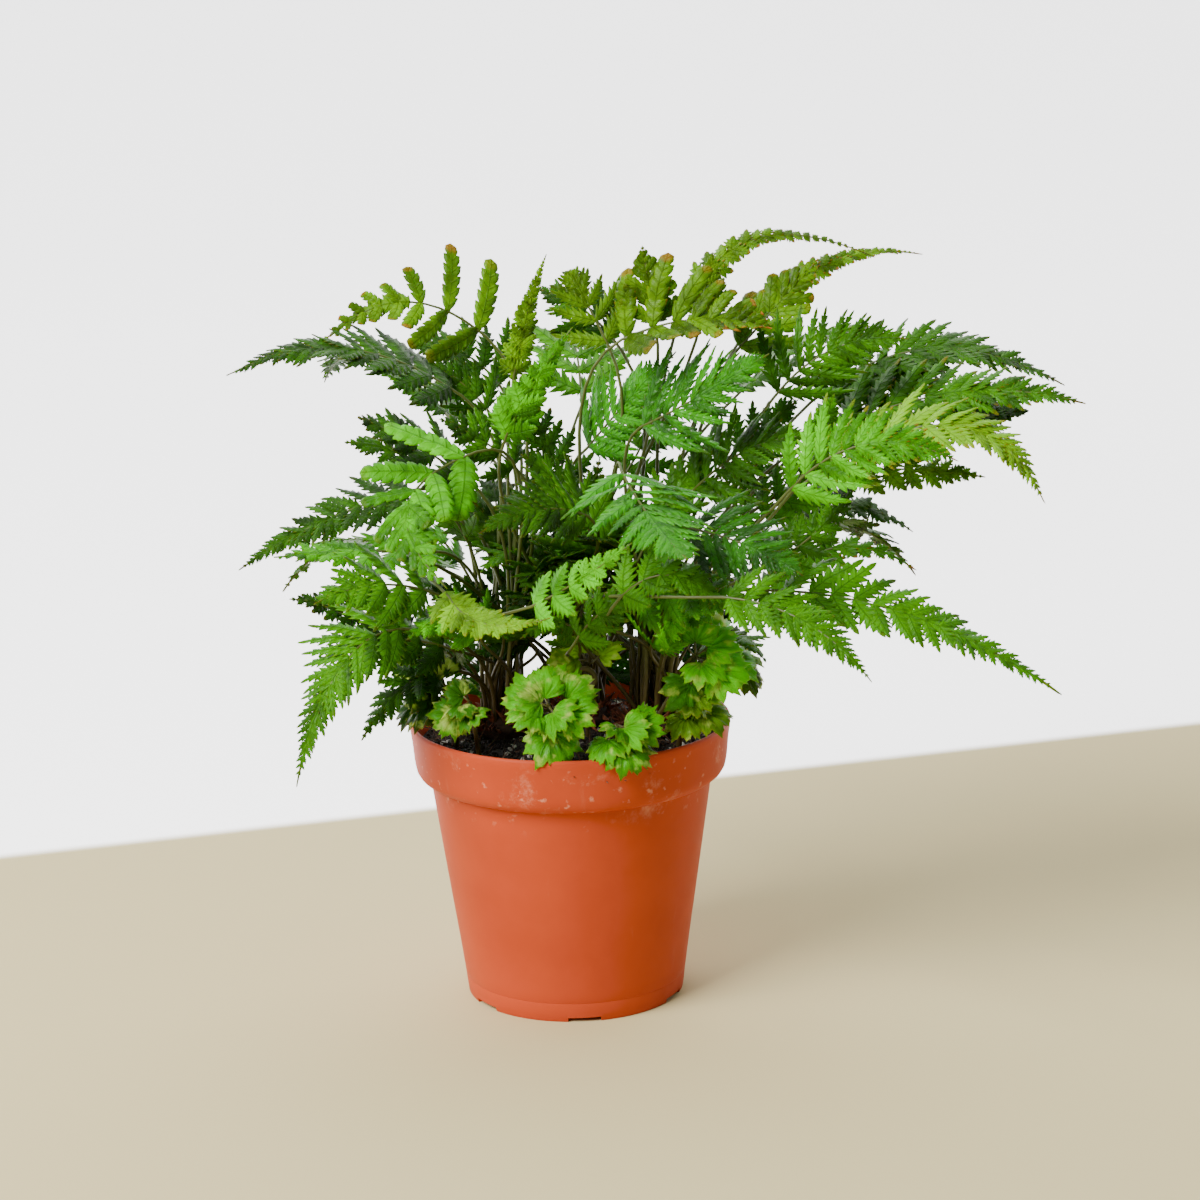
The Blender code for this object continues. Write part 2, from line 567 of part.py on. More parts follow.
class Lay:
    """Where one frond lies: its midrib, its stalk and the way its blade faces."""

    def __init__(self, frond, root, depth=0, swing=0, turn=0, bow=0):
        self.frond = frond
        self.root = root
        places = [Vector(place) * MM for place in (frond.knee, frond.middle, frond.tip)]
        shifts = (depth, depth + 0.5 * swing, depth + swing)
        self.knee, self.middle, self.tip = [
            place + (place - VIEWPOINT).normalized() * shift * DEPTH_STEP
            for place, shift in zip(places, shifts)
        ]
        chord = (self.tip - self.knee).normalized()
        self.face = Matrix.Rotation(turn * TURN_STEP, 3, chord) @ Vector(frond.face).normalized()
        self.bow = bow * BOW_STEP
        self.length = (self.middle - self.knee).length + (self.tip - self.middle).length

    def frame(self, s):
        """Point, direction, way to the right and upper side's normal at share s of the midrib."""
        point, along = on_parabola(self.knee, self.middle, self.tip, s)
        right = along.cross(self.face).normalized()
        return point, along, right, right.cross(along)

    def stalk(self):
        """Points of the stalk from its root up to a little past the knee."""
        base = self.root + UP * STALK_UPRIGHT
        _, along, _, _ = self.frame(0.0)
        top = self.knee + along * STALK_PAST_KNEE
        reach = (top - base).length
        rise = base + UP * reach * STALK_RISE
        arrive = top - along * reach * STALK_ARRIVE
        aside = (top - base).cross(UP).normalized()
        points = [self.root]
        for i in range(STALK_STEPS + 1):
            t = i / STALK_STEPS
            point = base * (1 - t) ** 3 + rise * 3 * t * (1 - t) ** 2
            point = point + arrive * 3 * t * t * (1 - t) + top * t ** 3
            points.append(point + aside * self.bow * math.sin(math.pi * t))
        return points


def pair_place(index, count):
    """Share of the midrib where pair number index stands, with the pairs closing up towards the tip."""
    share = (1 - PAIR_SHRINK ** index) / (1 - PAIR_SHRINK ** (count - 1))
    return FIRST_PAIR + (LAST_PAIR - FIRST_PAIR) * share


def pinna_reach(frond, s):
    """Length of a pinna at share s of the midrib."""
    swell = 0.86 + 0.14 * min(1.0, s / 0.2)
    return frond.reach * MM * swell * (1 - s) ** PINNA_TAPER


def pinna_point(lay, pinna, u, across):
    """Point of a pinna at share u of its length and the given share of its half width."""
    point, along, right, up = lay.frame(pinna.s)
    fold = math.radians(lay.frond.fold)
    away = right * pinna.side * math.cos(fold) + up * math.sin(fold)
    out = along * math.cos(pinna.angle) + away * math.sin(pinna.angle)
    forward = along * math.sin(pinna.angle) - away * math.cos(pinna.angle)
    bent = along * PINNA_BEND - up * pinna.sag
    return point + (out * u + bent * u * u) * pinna.length + forward * pinna.half_width * across


Pinna = namedtuple("Pinna", "s side length angle sag half_width")


def pinna_pairs(lay):
    """Every pair of pinnae, varied a little by a draw that the frond's name fixes."""
    frond = lay.frond
    draw = random.Random(frond.name)
    count = frond.pairs + PAIRS_IN_TERMINAL
    pairs = []
    for i in range(count):
        s = pair_place(i, count)
        spacing = (pair_place(i + 1, count) - s if i + 1 < count else 1 - s) * lay.length
        pair = []
        for side in (1, -1):
            length = pinna_reach(frond, s) * draw.uniform(0.9, 1.06)
            angle = math.radians(frond.angle + draw.uniform(-2.5, 2.5))
            sag = PINNA_SAG + draw.uniform(-0.07, 0.07)
            half_width = min(0.45 * spacing * math.sin(angle), 0.3 * length)
            pair.append(Pinna(s, side, length, angle, sag, half_width))
        pairs.append(pair)
    return pairs


def pinna_outline(frond):
    return NARROW_OUTLINE if frond.reach < NARROW_REACH else PINNA_OUTLINE


def pinna_faces(first, last, outline):
    """Triangles of one pinna between its two points on the rib, with its outline's points from first on."""
    a, b = last
    if outline == NARROW_OUTLINE:
        lower, tip, upper = range(first, first + 3)
        return [(a, lower, upper), (a, upper, b), (lower, tip, upper)]
    lower, notch, tip, upper = range(first, first + 4)
    return [(a, lower, notch), (a, notch, b), (b, notch, upper), (notch, tip, upper)]


def pinna_tree(lay, pinna, half_base):
    """Search tree of one pinna's skin, for seeing whether it crosses the next one."""
    outline = pinna_outline(lay.frond)
    ring = [rib_edge(lay, pinna.s + way * half_base, pinna.side) for way in (-1, 1)]
    ring += [pinna_point(lay, pinna, u, across) for u, across in outline]
    _, _, _, up = lay.frame(pinna.s)
    lift = up * (BLADE_THICKNESS / 2 + PINNA_CLEARANCE)
    top = pinna_faces(2, (0, 1), outline)
    count = len(ring)
    around = [0] + list(range(2, count)) + [1]
    polygons = top + [tuple(i + count for i in face) for face in top]
    polygons += [(i, k, k + count, i + count) for i, k in zip(around, around[1:])]
    return tree_of([point + lift for point in ring] + [point - lift for point in ring], polygons)


def clear_pairs(lay):
    """The pairs of pinnae, with neighbours that would cross made slimmer and shorter until they're clear."""
    pairs = pinna_pairs(lay)
    for side in (0, 1):
        for i in range(1, lay.frond.pairs + 1):
            half_base = PINNA_BASE * (pairs[i][side].s - pairs[i - 1][side].s)
            for _ in range(SLIMMING_TRIES):
                near, far = pairs[i - 1][side], pairs[i][side]
                if not pinna_tree(lay, near, half_base).overlap(pinna_tree(lay, far, half_base)):
                    break
                for k in (i - 1, i):
                    pinna = pairs[k][side]
                    width, length = pinna.half_width * SLIMMER, pinna.length * SHORTER
                    pairs[k][side] = pinna._replace(half_width=width, length=length)
    return pairs


def rib_edge(lay, s, side):
    point, _, right, _ = lay.frame(s)
    return point + right * side * RIB_HALF * (1 - 0.5 * s)


def blade_surface(lay):
    """The blade as one open, triangulated sheet: rib strip, pinnae and a lobed end piece."""
    frond = lay.frond
    outline = pinna_outline(frond)
    point, along, right, _ = lay.frame(0.0)
    back = point - along * RIB_ROOT_DEPTH
    points = [back + right * RIB_ROOT_HALF, back - right * RIB_ROOT_HALF]
    faces = []
    edge = {1: 0, -1: 1}
    pairs = clear_pairs(lay)
    gap = pairs[1][0].s - pairs[0][0].s
    ends = [pairs[0][0].s - gap / 2] + [(pairs[i][0].s + pairs[i + 1][0].s) / 2 for i in range(frond.pairs)]
    for i, end in enumerate(ends):
        low, edge = edge, {1: len(points), -1: len(points) + 1}
        points += [rib_edge(lay, end, side) for side in (1, -1)]
        faces += [(low[1], edge[1], edge[-1]), (low[1], edge[-1], low[-1])]
        for pinna in pairs[i - 1] if i else ():
            faces += pinna_faces(len(points), (low[pinna.side], edge[pinna.side]), outline)
            points += [pinna_point(lay, pinna, u, across) for u, across in outline]
    add_terminal(lay, pairs[frond.pairs:], points, faces, edge)
    return points, faces


def add_terminal(lay, pairs, points, faces, edge):
    """Adds the end piece, whose lobes stand for the last small pairs."""
    notch = {}
    for side in (1, -1):
        first = len(points)
        for index, share in (TERMINAL_LOBE, TERMINAL_NOTCH):
            pinna = pairs[index][0]
            even = pinna._replace(side=side, length=pinna_reach(lay.frond, pinna.s) * share)
            points.append(pinna_point(lay, even, 1.0, 0.0))
        notch[side] = first + 1
        faces.append((edge[side], first, first + 1))
    faces += [(edge[1], notch[1], notch[-1]), (edge[1], notch[-1], edge[-1])]
    faces.append((notch[1], len(points), notch[-1]))
    points.append(lay.tip)


def trial_solid(lay, margin):
    """Coarse skin of one frond, swollen by the margin, for seeing whether two fronds cross."""
    points, faces = blade_surface(lay)
    lift = BLADE_THICKNESS / 2 + margin
    normals = [Vector((0, 0, 0)) for _ in points]
    for face in faces:
        a, b, c = (points[i] for i in face)
        normal = (b - a).cross(c - a)
        if normal.dot(lay.face) < 0:
            normal = -normal
        for i in face:
            normals[i] += normal.normalized()
    count = len(points)
    skin = [p + n.normalized() * lift for p, n in zip(points, normals)]
    skin += [p - n.normalized() * lift for p, n in zip(points, normals)]
    polygons = list(faces) + [tuple(i + count for i in face) for face in faces]
    sides = Counter(frozenset(pair) for face in faces for pair in zip(face, face[1:] + face[:1]))
    rim = [tuple(side) for side, times in sides.items() if times == 1]
    polygons += [(a, b, b + count, a + count) for a, b in rim]
    add_trial_stalk(lay, margin, skin, polygons)
    return skin, polygons


def add_trial_stalk(lay, margin, skin, polygons):
    """Adds the stalk above its socket to the trial skin, as a six-sided tube."""
    sides = 6
    stalk = lay.stalk()[1:]
    radius = STALK_ROOT_RADIUS + margin
    right = Vector((1.0, 0.0, 0.0))
    for i, place in enumerate(stalk):
        way = (stalk[min(i + 1, len(stalk) - 1)] - stalk[max(i - 1, 0)]).normalized()
        right = (right - way * right.dot(way)).normalized()
        ahead = way.cross(right)
        ring = len(skin)
        for side in range(sides):
            turn = math.tau * side / sides
            skin.append(place + (right * math.cos(turn) + ahead * math.sin(turn)) * radius)
            if i:
                after = (side + 1) % sides
                polygons.append((ring - sides + side, ring - sides + after, ring + after, ring + side))


def tree_of(points, polygons):
    return BVHTree.FromPolygons([tuple(point) for point in points], polygons)


def tree_of_object(obj):
    return tree_of([v.co for v in obj.data.vertices], [tuple(p.vertices) for p in obj.data.polygons])


def tries():
    """Small changes of lie in the order in which they are tried, the smallest first."""
    options = []
    for depth in range(-5, 6):
        for swing in (-2, -1, 0, 1, 2):
            for turn in (-2, -1, 0, 1, 2):
                for bow in (-3, -2, -1, 0, 1, 2, 3):
                    cost = abs(depth) + 0.6 * abs(swing) + 0.7 * abs(turn) + 0.4 * abs(bow)
                    options.append((cost, depth, swing, turn, bow))
    options.sort()
    return [option[1:] for option in options]


def clear_lay(frond, root, taken, options):
    """The first lie of the frond that crosses nothing that already stands."""
    for depth, swing, turn, bow in options:
        lay = Lay(frond, root, depth, swing, turn, bow)
        tree = tree_of(*trial_solid(lay, CLEARANCE))
        if not any(tree.overlap(other) for other in taken):
            return lay
    raise RuntimeError("no clear lie for " + frond.name)


def make_frond(lay, material, parts, helpers):
    name = "frond_" + lay.frond.name
    blade = sheet(name, *blade_surface(lay), material, parts)
    points = lay.stalk()
    last = len(points) - 1
    radii = [STALK_ROOT_RADIUS + (STALK_TOP_RADIUS - STALK_ROOT_RADIUS) * i / last for i in range(last + 1)]
    stalk = tube(name + "_stalk", points, radii, material, helpers)
    return boolean(blade, [stalk], "UNION", helpers)


def fan_leaf(name, hub, out, face, stalk, radius, helpers):
    """One fan-shaped toothed leaf with its flat stalk, as a thin solid."""
    right = out.cross(face).normalized()
    root = hub + out * PETIOLE_ROOT
    foot = hub + out * stalk
    points = [root + right * PETIOLE_HALF, root - right * PETIOLE_HALF]
    points += [foot + right * PETIOLE_HALF, foot - right * PETIOLE_HALF]
    middle = foot + out * LEAF_SHIFT * radius
    for angle, share in FAN_OUTLINE:
        turn = math.radians(angle)
        reach = radius * share
        cup = face * LEAF_CUP * radius * abs(math.sin(turn))
        points.append(middle + out * reach * math.cos(turn) - right * reach * math.sin(turn) - cup)
    faces = [(0, 2, 3), (0, 3, 1)]
    first = 4
    half = len(FAN_OUTLINE) // 2
    faces += [(2, first + i, first + i + 1) for i in range(half)]
    faces += [(2, first + half, 3)]
    faces += [(3, first + i, first + i + 1) for i in range(half, 2 * half)]
    return sheet(name, points, faces, None, helpers)


def make_sprout(sprout, material, parts, helpers):
    """One young plant: a short stem in its hole, with fan-shaped leaves round the stem's top."""
    place = Vector((*sprout.place, 0.0)) * MM
    floor = hole_floor(place) + GAP
    hub = Vector(sprout.hub) * MM
    stem_points = (
        place + UP * floor,
        place + UP * (floor + SPROUT_DEPTH + SPROUT_COLLAR),
        hub,
    )
    radii = (SPROUT_STEM_RADIUS, SPROUT_STEM_RADIUS, SPROUT_HUB_RADIUS)
    stem = tube(sprout.name, stem_points, radii, material, parts)
    face = Vector(sprout.face).normalized()
    level = UP.cross(face).normalized()
    above = face.cross(level)
    below_top = hub - (hub - stem_points[1]).normalized() * SPROUT_HUB_RADIUS
    leaves = []
    for i, (angle, stalk, radius) in enumerate(sprout.leaves):
        turn = math.radians(angle)
        nod = face * LEAF_NODS[i % 2]
        out = (level * math.cos(turn) + above * math.sin(turn) + nod).normalized()
        upper = (face - out * face.dot(out)).normalized()
        root = below_top + face * i * LEAF_ROOT_STEP
        name = f"{sprout.name}_leaf_{i}"
        leaves.append(fan_leaf(name, root, out, upper, stalk * MM, radius * MM, helpers))
    return boolean(stem, leaves, "UNION", helpers)


def make_crozier(parts):
    """A young frond rolled up like the head of a violin."""
    green = principled("crozier_green", (0.16, 0.22, 0.05), 0.6)
    floor = hole_floor(CROZIER_PLACE) + GAP
    points = [CROZIER_PLACE + UP * floor, CROZIER_PLACE + UP * (CROZIER_HEIGHT - 2 * CROZIER_COIL)]
    centre = CROZIER_PLACE + Vector((CROZIER_COIL, 0, CROZIER_HEIGHT))
    for i in range(CROZIER_STEPS + 1):
        t = i / CROZIER_STEPS
        angle = math.pi - math.tau * CROZIER_TURNS * t
        radius = CROZIER_COIL * (1 - CROZIER_COIL_SHRINK * t)
        points.append(centre + Vector((math.cos(angle), 0.0, math.sin(angle))) * radius)
    radii = [CROZIER_RADIUS * (1 - CROZIER_END_SHRINK * i / len(points)) for i in range(len(points))]
    return tube("crozier", points, radii, green, parts)


def main():
    clear_scene()
    parts = new_collection("potted_fern")
    helpers = new_collection("helpers", hidden=True)
    roots = assign_roots()
    greens = {name: principled("leaf_" + name, colour, 0.45) for name, colour in LEAF_COLOURS.items()}
    standing = [make_pot(parts, helpers)]
    make_mix(parts, helpers)
    standing += [make_crown(i, roots, parts, helpers) for i in range(len(CROWN_CENTRES))]
    standing += [make_sprout(sprout, greens[sprout.colour], parts, helpers) for sprout in SPROUTS]
    standing.append(make_crozier(parts))
    taken = [tree_of_object(obj) for obj in standing]
    options = tries()
    for frond in FRONDS:
        lay = clear_lay(frond, roots[frond.name], taken, options)
        taken.append(tree_of(*trial_solid(lay, 0.0)))
        make_frond(lay, greens[frond.colour], parts, helpers)
    holder = bpy.data.objects.new("placement", None)
    parts.objects.link(holder)
    holder.location = -OUTLINE_CENTRE
    for obj in parts.objects:
        if obj != holder:
            obj.parent = holder


main()
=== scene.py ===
"""Looks of a divided, toothed fern in a round nursery pot, laid out as an add-on and run as a script.

The CAD model is loaded as a fixed frame. Fine pieces stand for its nodes: toothed leaflets on wiry stalks,
scaly crowns, gritty potting mix and a scuffed plastic pot. Planted sizes are in millimetres from the pot's
axis and foot, and MM turns them into metres.
"""

import math
import random
from collections import namedtuple

import bmesh
import bpy
import numpy as np
from mathutils import Matrix, Vector, kdtree
from mathutils import noise as field


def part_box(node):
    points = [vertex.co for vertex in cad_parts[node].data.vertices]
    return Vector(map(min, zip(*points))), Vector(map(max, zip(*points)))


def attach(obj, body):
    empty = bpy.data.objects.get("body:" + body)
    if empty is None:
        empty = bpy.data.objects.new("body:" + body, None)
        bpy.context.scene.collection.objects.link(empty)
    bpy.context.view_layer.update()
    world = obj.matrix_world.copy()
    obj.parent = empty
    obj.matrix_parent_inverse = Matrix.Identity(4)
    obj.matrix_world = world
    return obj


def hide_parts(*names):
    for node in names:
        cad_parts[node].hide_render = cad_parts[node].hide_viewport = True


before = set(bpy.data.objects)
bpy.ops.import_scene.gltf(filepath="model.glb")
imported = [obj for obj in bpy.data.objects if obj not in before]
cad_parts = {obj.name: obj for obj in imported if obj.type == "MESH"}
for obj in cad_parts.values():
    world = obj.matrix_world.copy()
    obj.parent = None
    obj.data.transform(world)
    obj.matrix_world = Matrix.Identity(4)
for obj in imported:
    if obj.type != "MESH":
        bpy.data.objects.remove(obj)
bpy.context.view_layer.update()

bl_info = {
    "name": "Potted fern",
    "version": (1, 0, 0),
    "blender": (4, 5, 0),
    "location": "View3D > Sidebar > Fern",
    "description": "Makes the fine pieces of a potted fern around its CAD frame",
    "category": "Add Mesh",
}

MM = 0.001
UP = Vector((0.0, 0.0, 1.0))
WELD = 0.001 * MM
BODY = "root"

POT_LOW, POT_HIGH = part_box("pot")
AXIS = Vector(((POT_LOW.x + POT_HIGH.x) / 2, (POT_LOW.y + POT_HIGH.y) / 2, 0.0))

# Camera: fitted to the picture's view, from the pot's axis and foot.
CAMERA_AIM = Vector((10.9, 0.0, 135.5)) * MM
CAMERA_DISTANCE = 1108.0 * MM
CAMERA_ELEVATION = math.radians(13.84)
CAMERA_ROLL = math.radians(-1.19)
CAMERA_LENS = 99.57
CAMERA_SENSOR = 36.0

# The cream floor's far edge, behind the pot.
FLOOR_EDGE = 0.218
FLOOR_EDGE_SLOPE = 0.308
FLOOR_EDGE_BLUR = 0.011
FLOOR_SHADE = 0.96
FLOOR_ROUGHNESS = 0.9

# The floor's reach and the bend where it turns up into the wall.
FLOOR_HALF = 6.0
FLOOR_FRONT = -4.0
FLOOR_BACK = 2.6
FLOOR_BEND = 1.2
FLOOR_STEPS = 16
WALL_TOP = 4.5

# Lights, each with the value that gives its power; they aim at the middle of the plant.
Light = namedtuple("Light", "name place size power tint")
LIGHTS = (
    Light("key", (-1.15, -1.05, 1.45), (1.1, 1.1), "key", (1.0, 0.98, 0.95)),
    Light("fill", (1.5, -1.0, 0.8), (1.4, 1.4), "fill", (0.95, 0.98, 1.0)),
    Light("top", (0.1, 0.5, 1.9), (1.6, 1.0), "back", (1.0, 1.0, 1.0)),
)
LIGHTS_AIM = Vector((0.0, 0.0, 0.14))
SKY_TINT = (1.0, 0.99, 0.95, 1.0)

# Pot: outer profile from the lip down to the foot, as (radius, height).
POT_OUTER = (
    (52.55, 95.2), (52.9, 95.5), (53.4, 95.5), (53.8, 95.2), (54.0, 94.6), (53.8, 92.6), (53.3, 89.0),
    (52.7, 82.6), (52.45, 81.0), (52.1, 79.4), (51.3, 78.0), (50.0, 76.95), (48.7, 76.45), (47.4, 76.3),
    (47.3, 75.9), (46.9, 71.8), (45.4, 61.5), (43.6, 49.0), (41.5, 34.6), (39.2, 19.0), (37.9, 9.6),
    (37.55, 7.0), (37.35, 6.6), (37.45, 6.2), (37.1, 3.2), (36.75, 0.5), (36.4, 0.0),
)
POT_UNDERSIDE = ((33.6, 0.0), (33.3, 0.4), (33.0, 2.4), (32.6, 2.6), (0.0, 2.6))
POT_INSIDE = (
    (0.0, 4.0), (35.2, 4.0), (36.1, 5.0), (45.7, 74.6), (46.3, 75.6), (48.0, 77.2), (50.4, 79.4),
    (51.1, 81.4), (51.9, 90.0), (52.4, 94.6),
)
POT_SHARP_ANGLE = math.radians(35.0)
POT_SEAM_WELD = 0.01 * MM
POT_WELD = 0.002 * MM
NOTCH_COUNT = 6
NOTCH_FIRST_ANGLE = math.radians(-85.4)
NOTCH_SIZE = Vector((14.0, 11.0, 3.0)) * MM
NOTCH_RADIUS = 35.1 * MM

# Potting mix
MIX_RADIUS = 50.6 * MM
MIX_EDGE_HEIGHT = 87.3 * MM
MIX_CENTRE_HEIGHT = 90.0 * MM
MIX_DEPTH = 5.0 * MM
MIX_RINGS = 44
MIX_SPOKES = 132
MIX_LUMPS = 160.0
MIX_FRACTAL = (0.9, 2.1, 5)
MIX_SHARP_ANGLE = math.radians(50.0)

# What is scattered: least and greatest size, lean from upright, and how level the ground under it is.
Scatter = namedtuple("Scatter", "smallest largest lean upright")
CRUMBS = Scatter(0.6 * MM, 2.3 * MM, math.pi, 0.25)
WHITE_GRAINS = Scatter(1.0 * MM, 2.8 * MM, math.pi, 0.25)
FIBRES = Scatter(3.0 * MM, 8.0 * MM, 1.35, 0.25)
SCALE_LEAN = 0.9
SCALE_UPRIGHT = 0.1
SMALLEST_SCALE = 0.45

# Grains: how far their corners reach, their seeds and their height for a width of 1.
GRAIN_REACHES = (0.72, 1.2)
CRUMB_SEEDS = range(4)
CRUMB_HEIGHT = 0.8
WHITE_SEEDS = range(9, 12)
WHITE_HEIGHT = 0.85

# Fibres and scales: half the width of a strip of unit length, its bows and the share of width at its tip.
Splinter = namedtuple("Splinter", "half_width bows tip")
THREAD = Splinter(0.045, (0.25, -0.15, 0.4), 0.4)
SCALE = Splinter(0.16, (0.3, 0.5, -0.1, 0.15), 0.1)
SPLINTER_STEPS = (0.0, 0.35, 0.7, 1.0)
SPLINTER_CURL = 0.15
SPLINTER_DEPTH = 0.5

# Crowns
CROWN_NAMES = ("crown_left", "crown_middle", "crown_right")
CROWN_CENTRES = tuple(Vector(place) * MM for place in ((-22.0, 3.0, 0.0), (4.0, 13.0, 0.0), (28.0, 1.0, 0.0)))
CROWN_RADIUS = 10.2 * MM
CROWN_LOW = 86.0 * MM
CROWN_HIGH = 97.6 * MM
CROWN_RINGS = 20
CROWN_SPOKES = 36
CROWN_LUMP = 0.10
CROWN_LUMPS = 3.1
CROWN_SEED = 20
CROWN_SEED_STEP = 7.0
CROWN_SHARP_ANGLE = math.radians(60.0)
SOCKET_RINGS = ((11, 7.4 * MM), (4, 3.15 * MM))
SOCKET_HEIGHT = 90.3 * MM

# Stalks and blades, as the solids have them
STALK_UPRIGHT = 9.0 * MM
STALK_STEPS = 4
STALK_RISE = 0.38
STALK_ARRIVE = 0.3
STALK_PAST_KNEE = 2.0 * MM
RIB_ROOT_DEPTH = 3.0 * MM
FIRST_PAIR = 0.07
LAST_PAIR = 0.95
PAIRS_IN_TERMINAL = 4
PAIR_SHRINK = 0.86
PINNA_TAPER = 0.95
PINNA_SWELL = (0.86, 0.14)
PINNA_SWELL_END = 0.2
PINNA_LENGTHS = (0.9, 1.06)
PINNA_ANGLE_RANGE = 2.5
PINNA_SAG_RANGE = 0.07
PINNA_SPACING_SHARE = 0.45
PINNA_LENGTH_SHARE = 0.3
PINNA_BEND = 0.14
PINNA_SAG = 0.16
VIEWPOINT = Vector((11.0, -1076.0, 401.0)) * MM
DEPTH_STEP = 5.0 * MM
BOW_STEP = 5.0 * MM
TURN_STEP = math.radians(12.0)
DEPTHS = range(-5, 6)
SWINGS = range(-2, 3)
TURNS = range(-2, 3)
BOWS = range(-3, 4)

# Fine stalks: radius at the root, at the knee and at the tip.
STALK_RADII = (0.80 * MM, 0.48 * MM, 0.17 * MM)
STALK_SIDES = 8
STALK_POINTS = 14
RIB_POINTS = 12
RIB_START = 0.06
RIB_LENGTH = 0.93
RIB_DEPTH = 0.15

# Fine leaflets
LEAFLET_OVERLAP = 1.30
NARROW_OVERLAP = 1.7
NARROW_REACH = 13
LEAFLET_SHINGLE = math.radians(9.0)
LEAFLET_TWIST = math.radians(18.0)
LEAFLET_WANDER = math.radians(8.0)
LEAFLET_CURL = 0.16
LEAFLET_LENGTHS = (0.86, 1.08)
LEAFLET_WIDEST = 0.42
LEAFLET_FULL = 0.26
LEAFLET_PUFF = 0.11
LEAFLET_FOOT = 0.8
LEAFLET_TIP = (0.995, 0.04)
LOBES_START = 0.03
LOBES_LENGTH = 0.94
LOBE_LEAN = 0.42
CLOSING_ANGLE = 0.34

# Fan-shaped leaves: lobes, spread to either side in degrees and seed; teeth as in a leaflet.
FANS = ((7, 104.0, 2), (6, 88.0, 5))
FAN_TEETH = ((0.0, 0.83), (0.17, 0.97), (0.28, 0.92), (0.50, 1.06), (0.66, 0.94), (0.82, 0.98))
# Points from a fan's foot to its edge, as (share of its reach, relief).
FAN_OUTWARDS = ((0.03, 0.0), (0.38, 0.03), (0.72, 0.05), (1.0, -0.06))
FAN_REACHES = (0.91, 1.06)
FAN_SIDE_LOSS = 0.30
FAN_FOOT = 0.12
FAN_VEIN_REACH = 0.7
FAN_PLEAT = 0.05

# Lobes: share of the way along a lobe and share of the leaf's half width there.
SHARP_TEETH = ((0.0, 0.42), (0.22, 0.80), (0.32, 0.70), (0.60, 1.02), (0.84, 1.24))
FEW_SHARP_TEETH = ((0.0, 0.54), (0.34, 0.90), (0.44, 0.82), (0.82, 1.12))
ROUND_TEETH = ((0.0, 0.66), (0.16, 0.90), (0.38, 1.0), (0.47, 0.95), (0.68, 1.05), (0.86, 0.95))
FEW_ROUND_TEETH = ((0.0, 0.68), (0.24, 0.94), (0.55, 1.02), (0.84, 0.98))
# Points across a leaflet, as (share of its half width, relief).
FIVE_ACROSS = ((-1.0, -0.20), (-0.52, 0.05), (0.0, -0.07), (0.52, 0.05), (1.0, -0.20))
THREE_ACROSS = ((-1.0, -0.14), (0.0, 0.05), (1.0, -0.14))
LeafShape = namedtuple("LeafShape", "lobes teeth across base shoulder blunt")
LEAF_SHAPES = (
    LeafShape(7, SHARP_TEETH, THREE_ACROSS, 0.58, 0.36, 1.7),
    LeafShape(6, SHARP_TEETH, THREE_ACROSS, 0.58, 0.36, 1.7),
    LeafShape(4, SHARP_TEETH, THREE_ACROSS, 0.58, 0.38, 1.8),
    LeafShape(6, ROUND_TEETH, FIVE_ACROSS, 0.42, 0.52, 2.2),
    LeafShape(4, ROUND_TEETH, FIVE_ACROSS, 0.46, 0.50, 2.2),
    LeafShape(3, FEW_ROUND_TEETH, THREE_ACROSS, 0.52, 0.48, 2.2),
    LeafShape(11, FEW_SHARP_TEETH, THREE_ACROSS, 0.80, 0.10, 1.25),
)
# A leaflet takes the first shape whose least length in mm it reaches.
LEAST_LENGTHS = (21.0, 11.0, 0.0)
BLUNT_KINDS = 3
SMALL_KIND = 2
STRAP_KIND = 6
BLUNT_FRONDS = ("left_cascade", "upper_left", "top_centre", "top_flag", "top_right_leaf")
CLOSE_OVERLAP = 0.70
# How much wider than in the solid the leaflets are, where it isn't the usual.
OVERLAPS = {"upper_left": 0.72, "left_cascade": 1.05, "top_centre": 1.1, "front_pale": 1.0}
# The share of its length that a leaflet past the first ones keeps.
SHORTER = {"upper_left": 0.62}
SHORTER_PAST = 0.3
STRAP_START = 0.46
STRAP_WIDTH = 0.13
NARROW_STRAP_WIDTH = 0.30

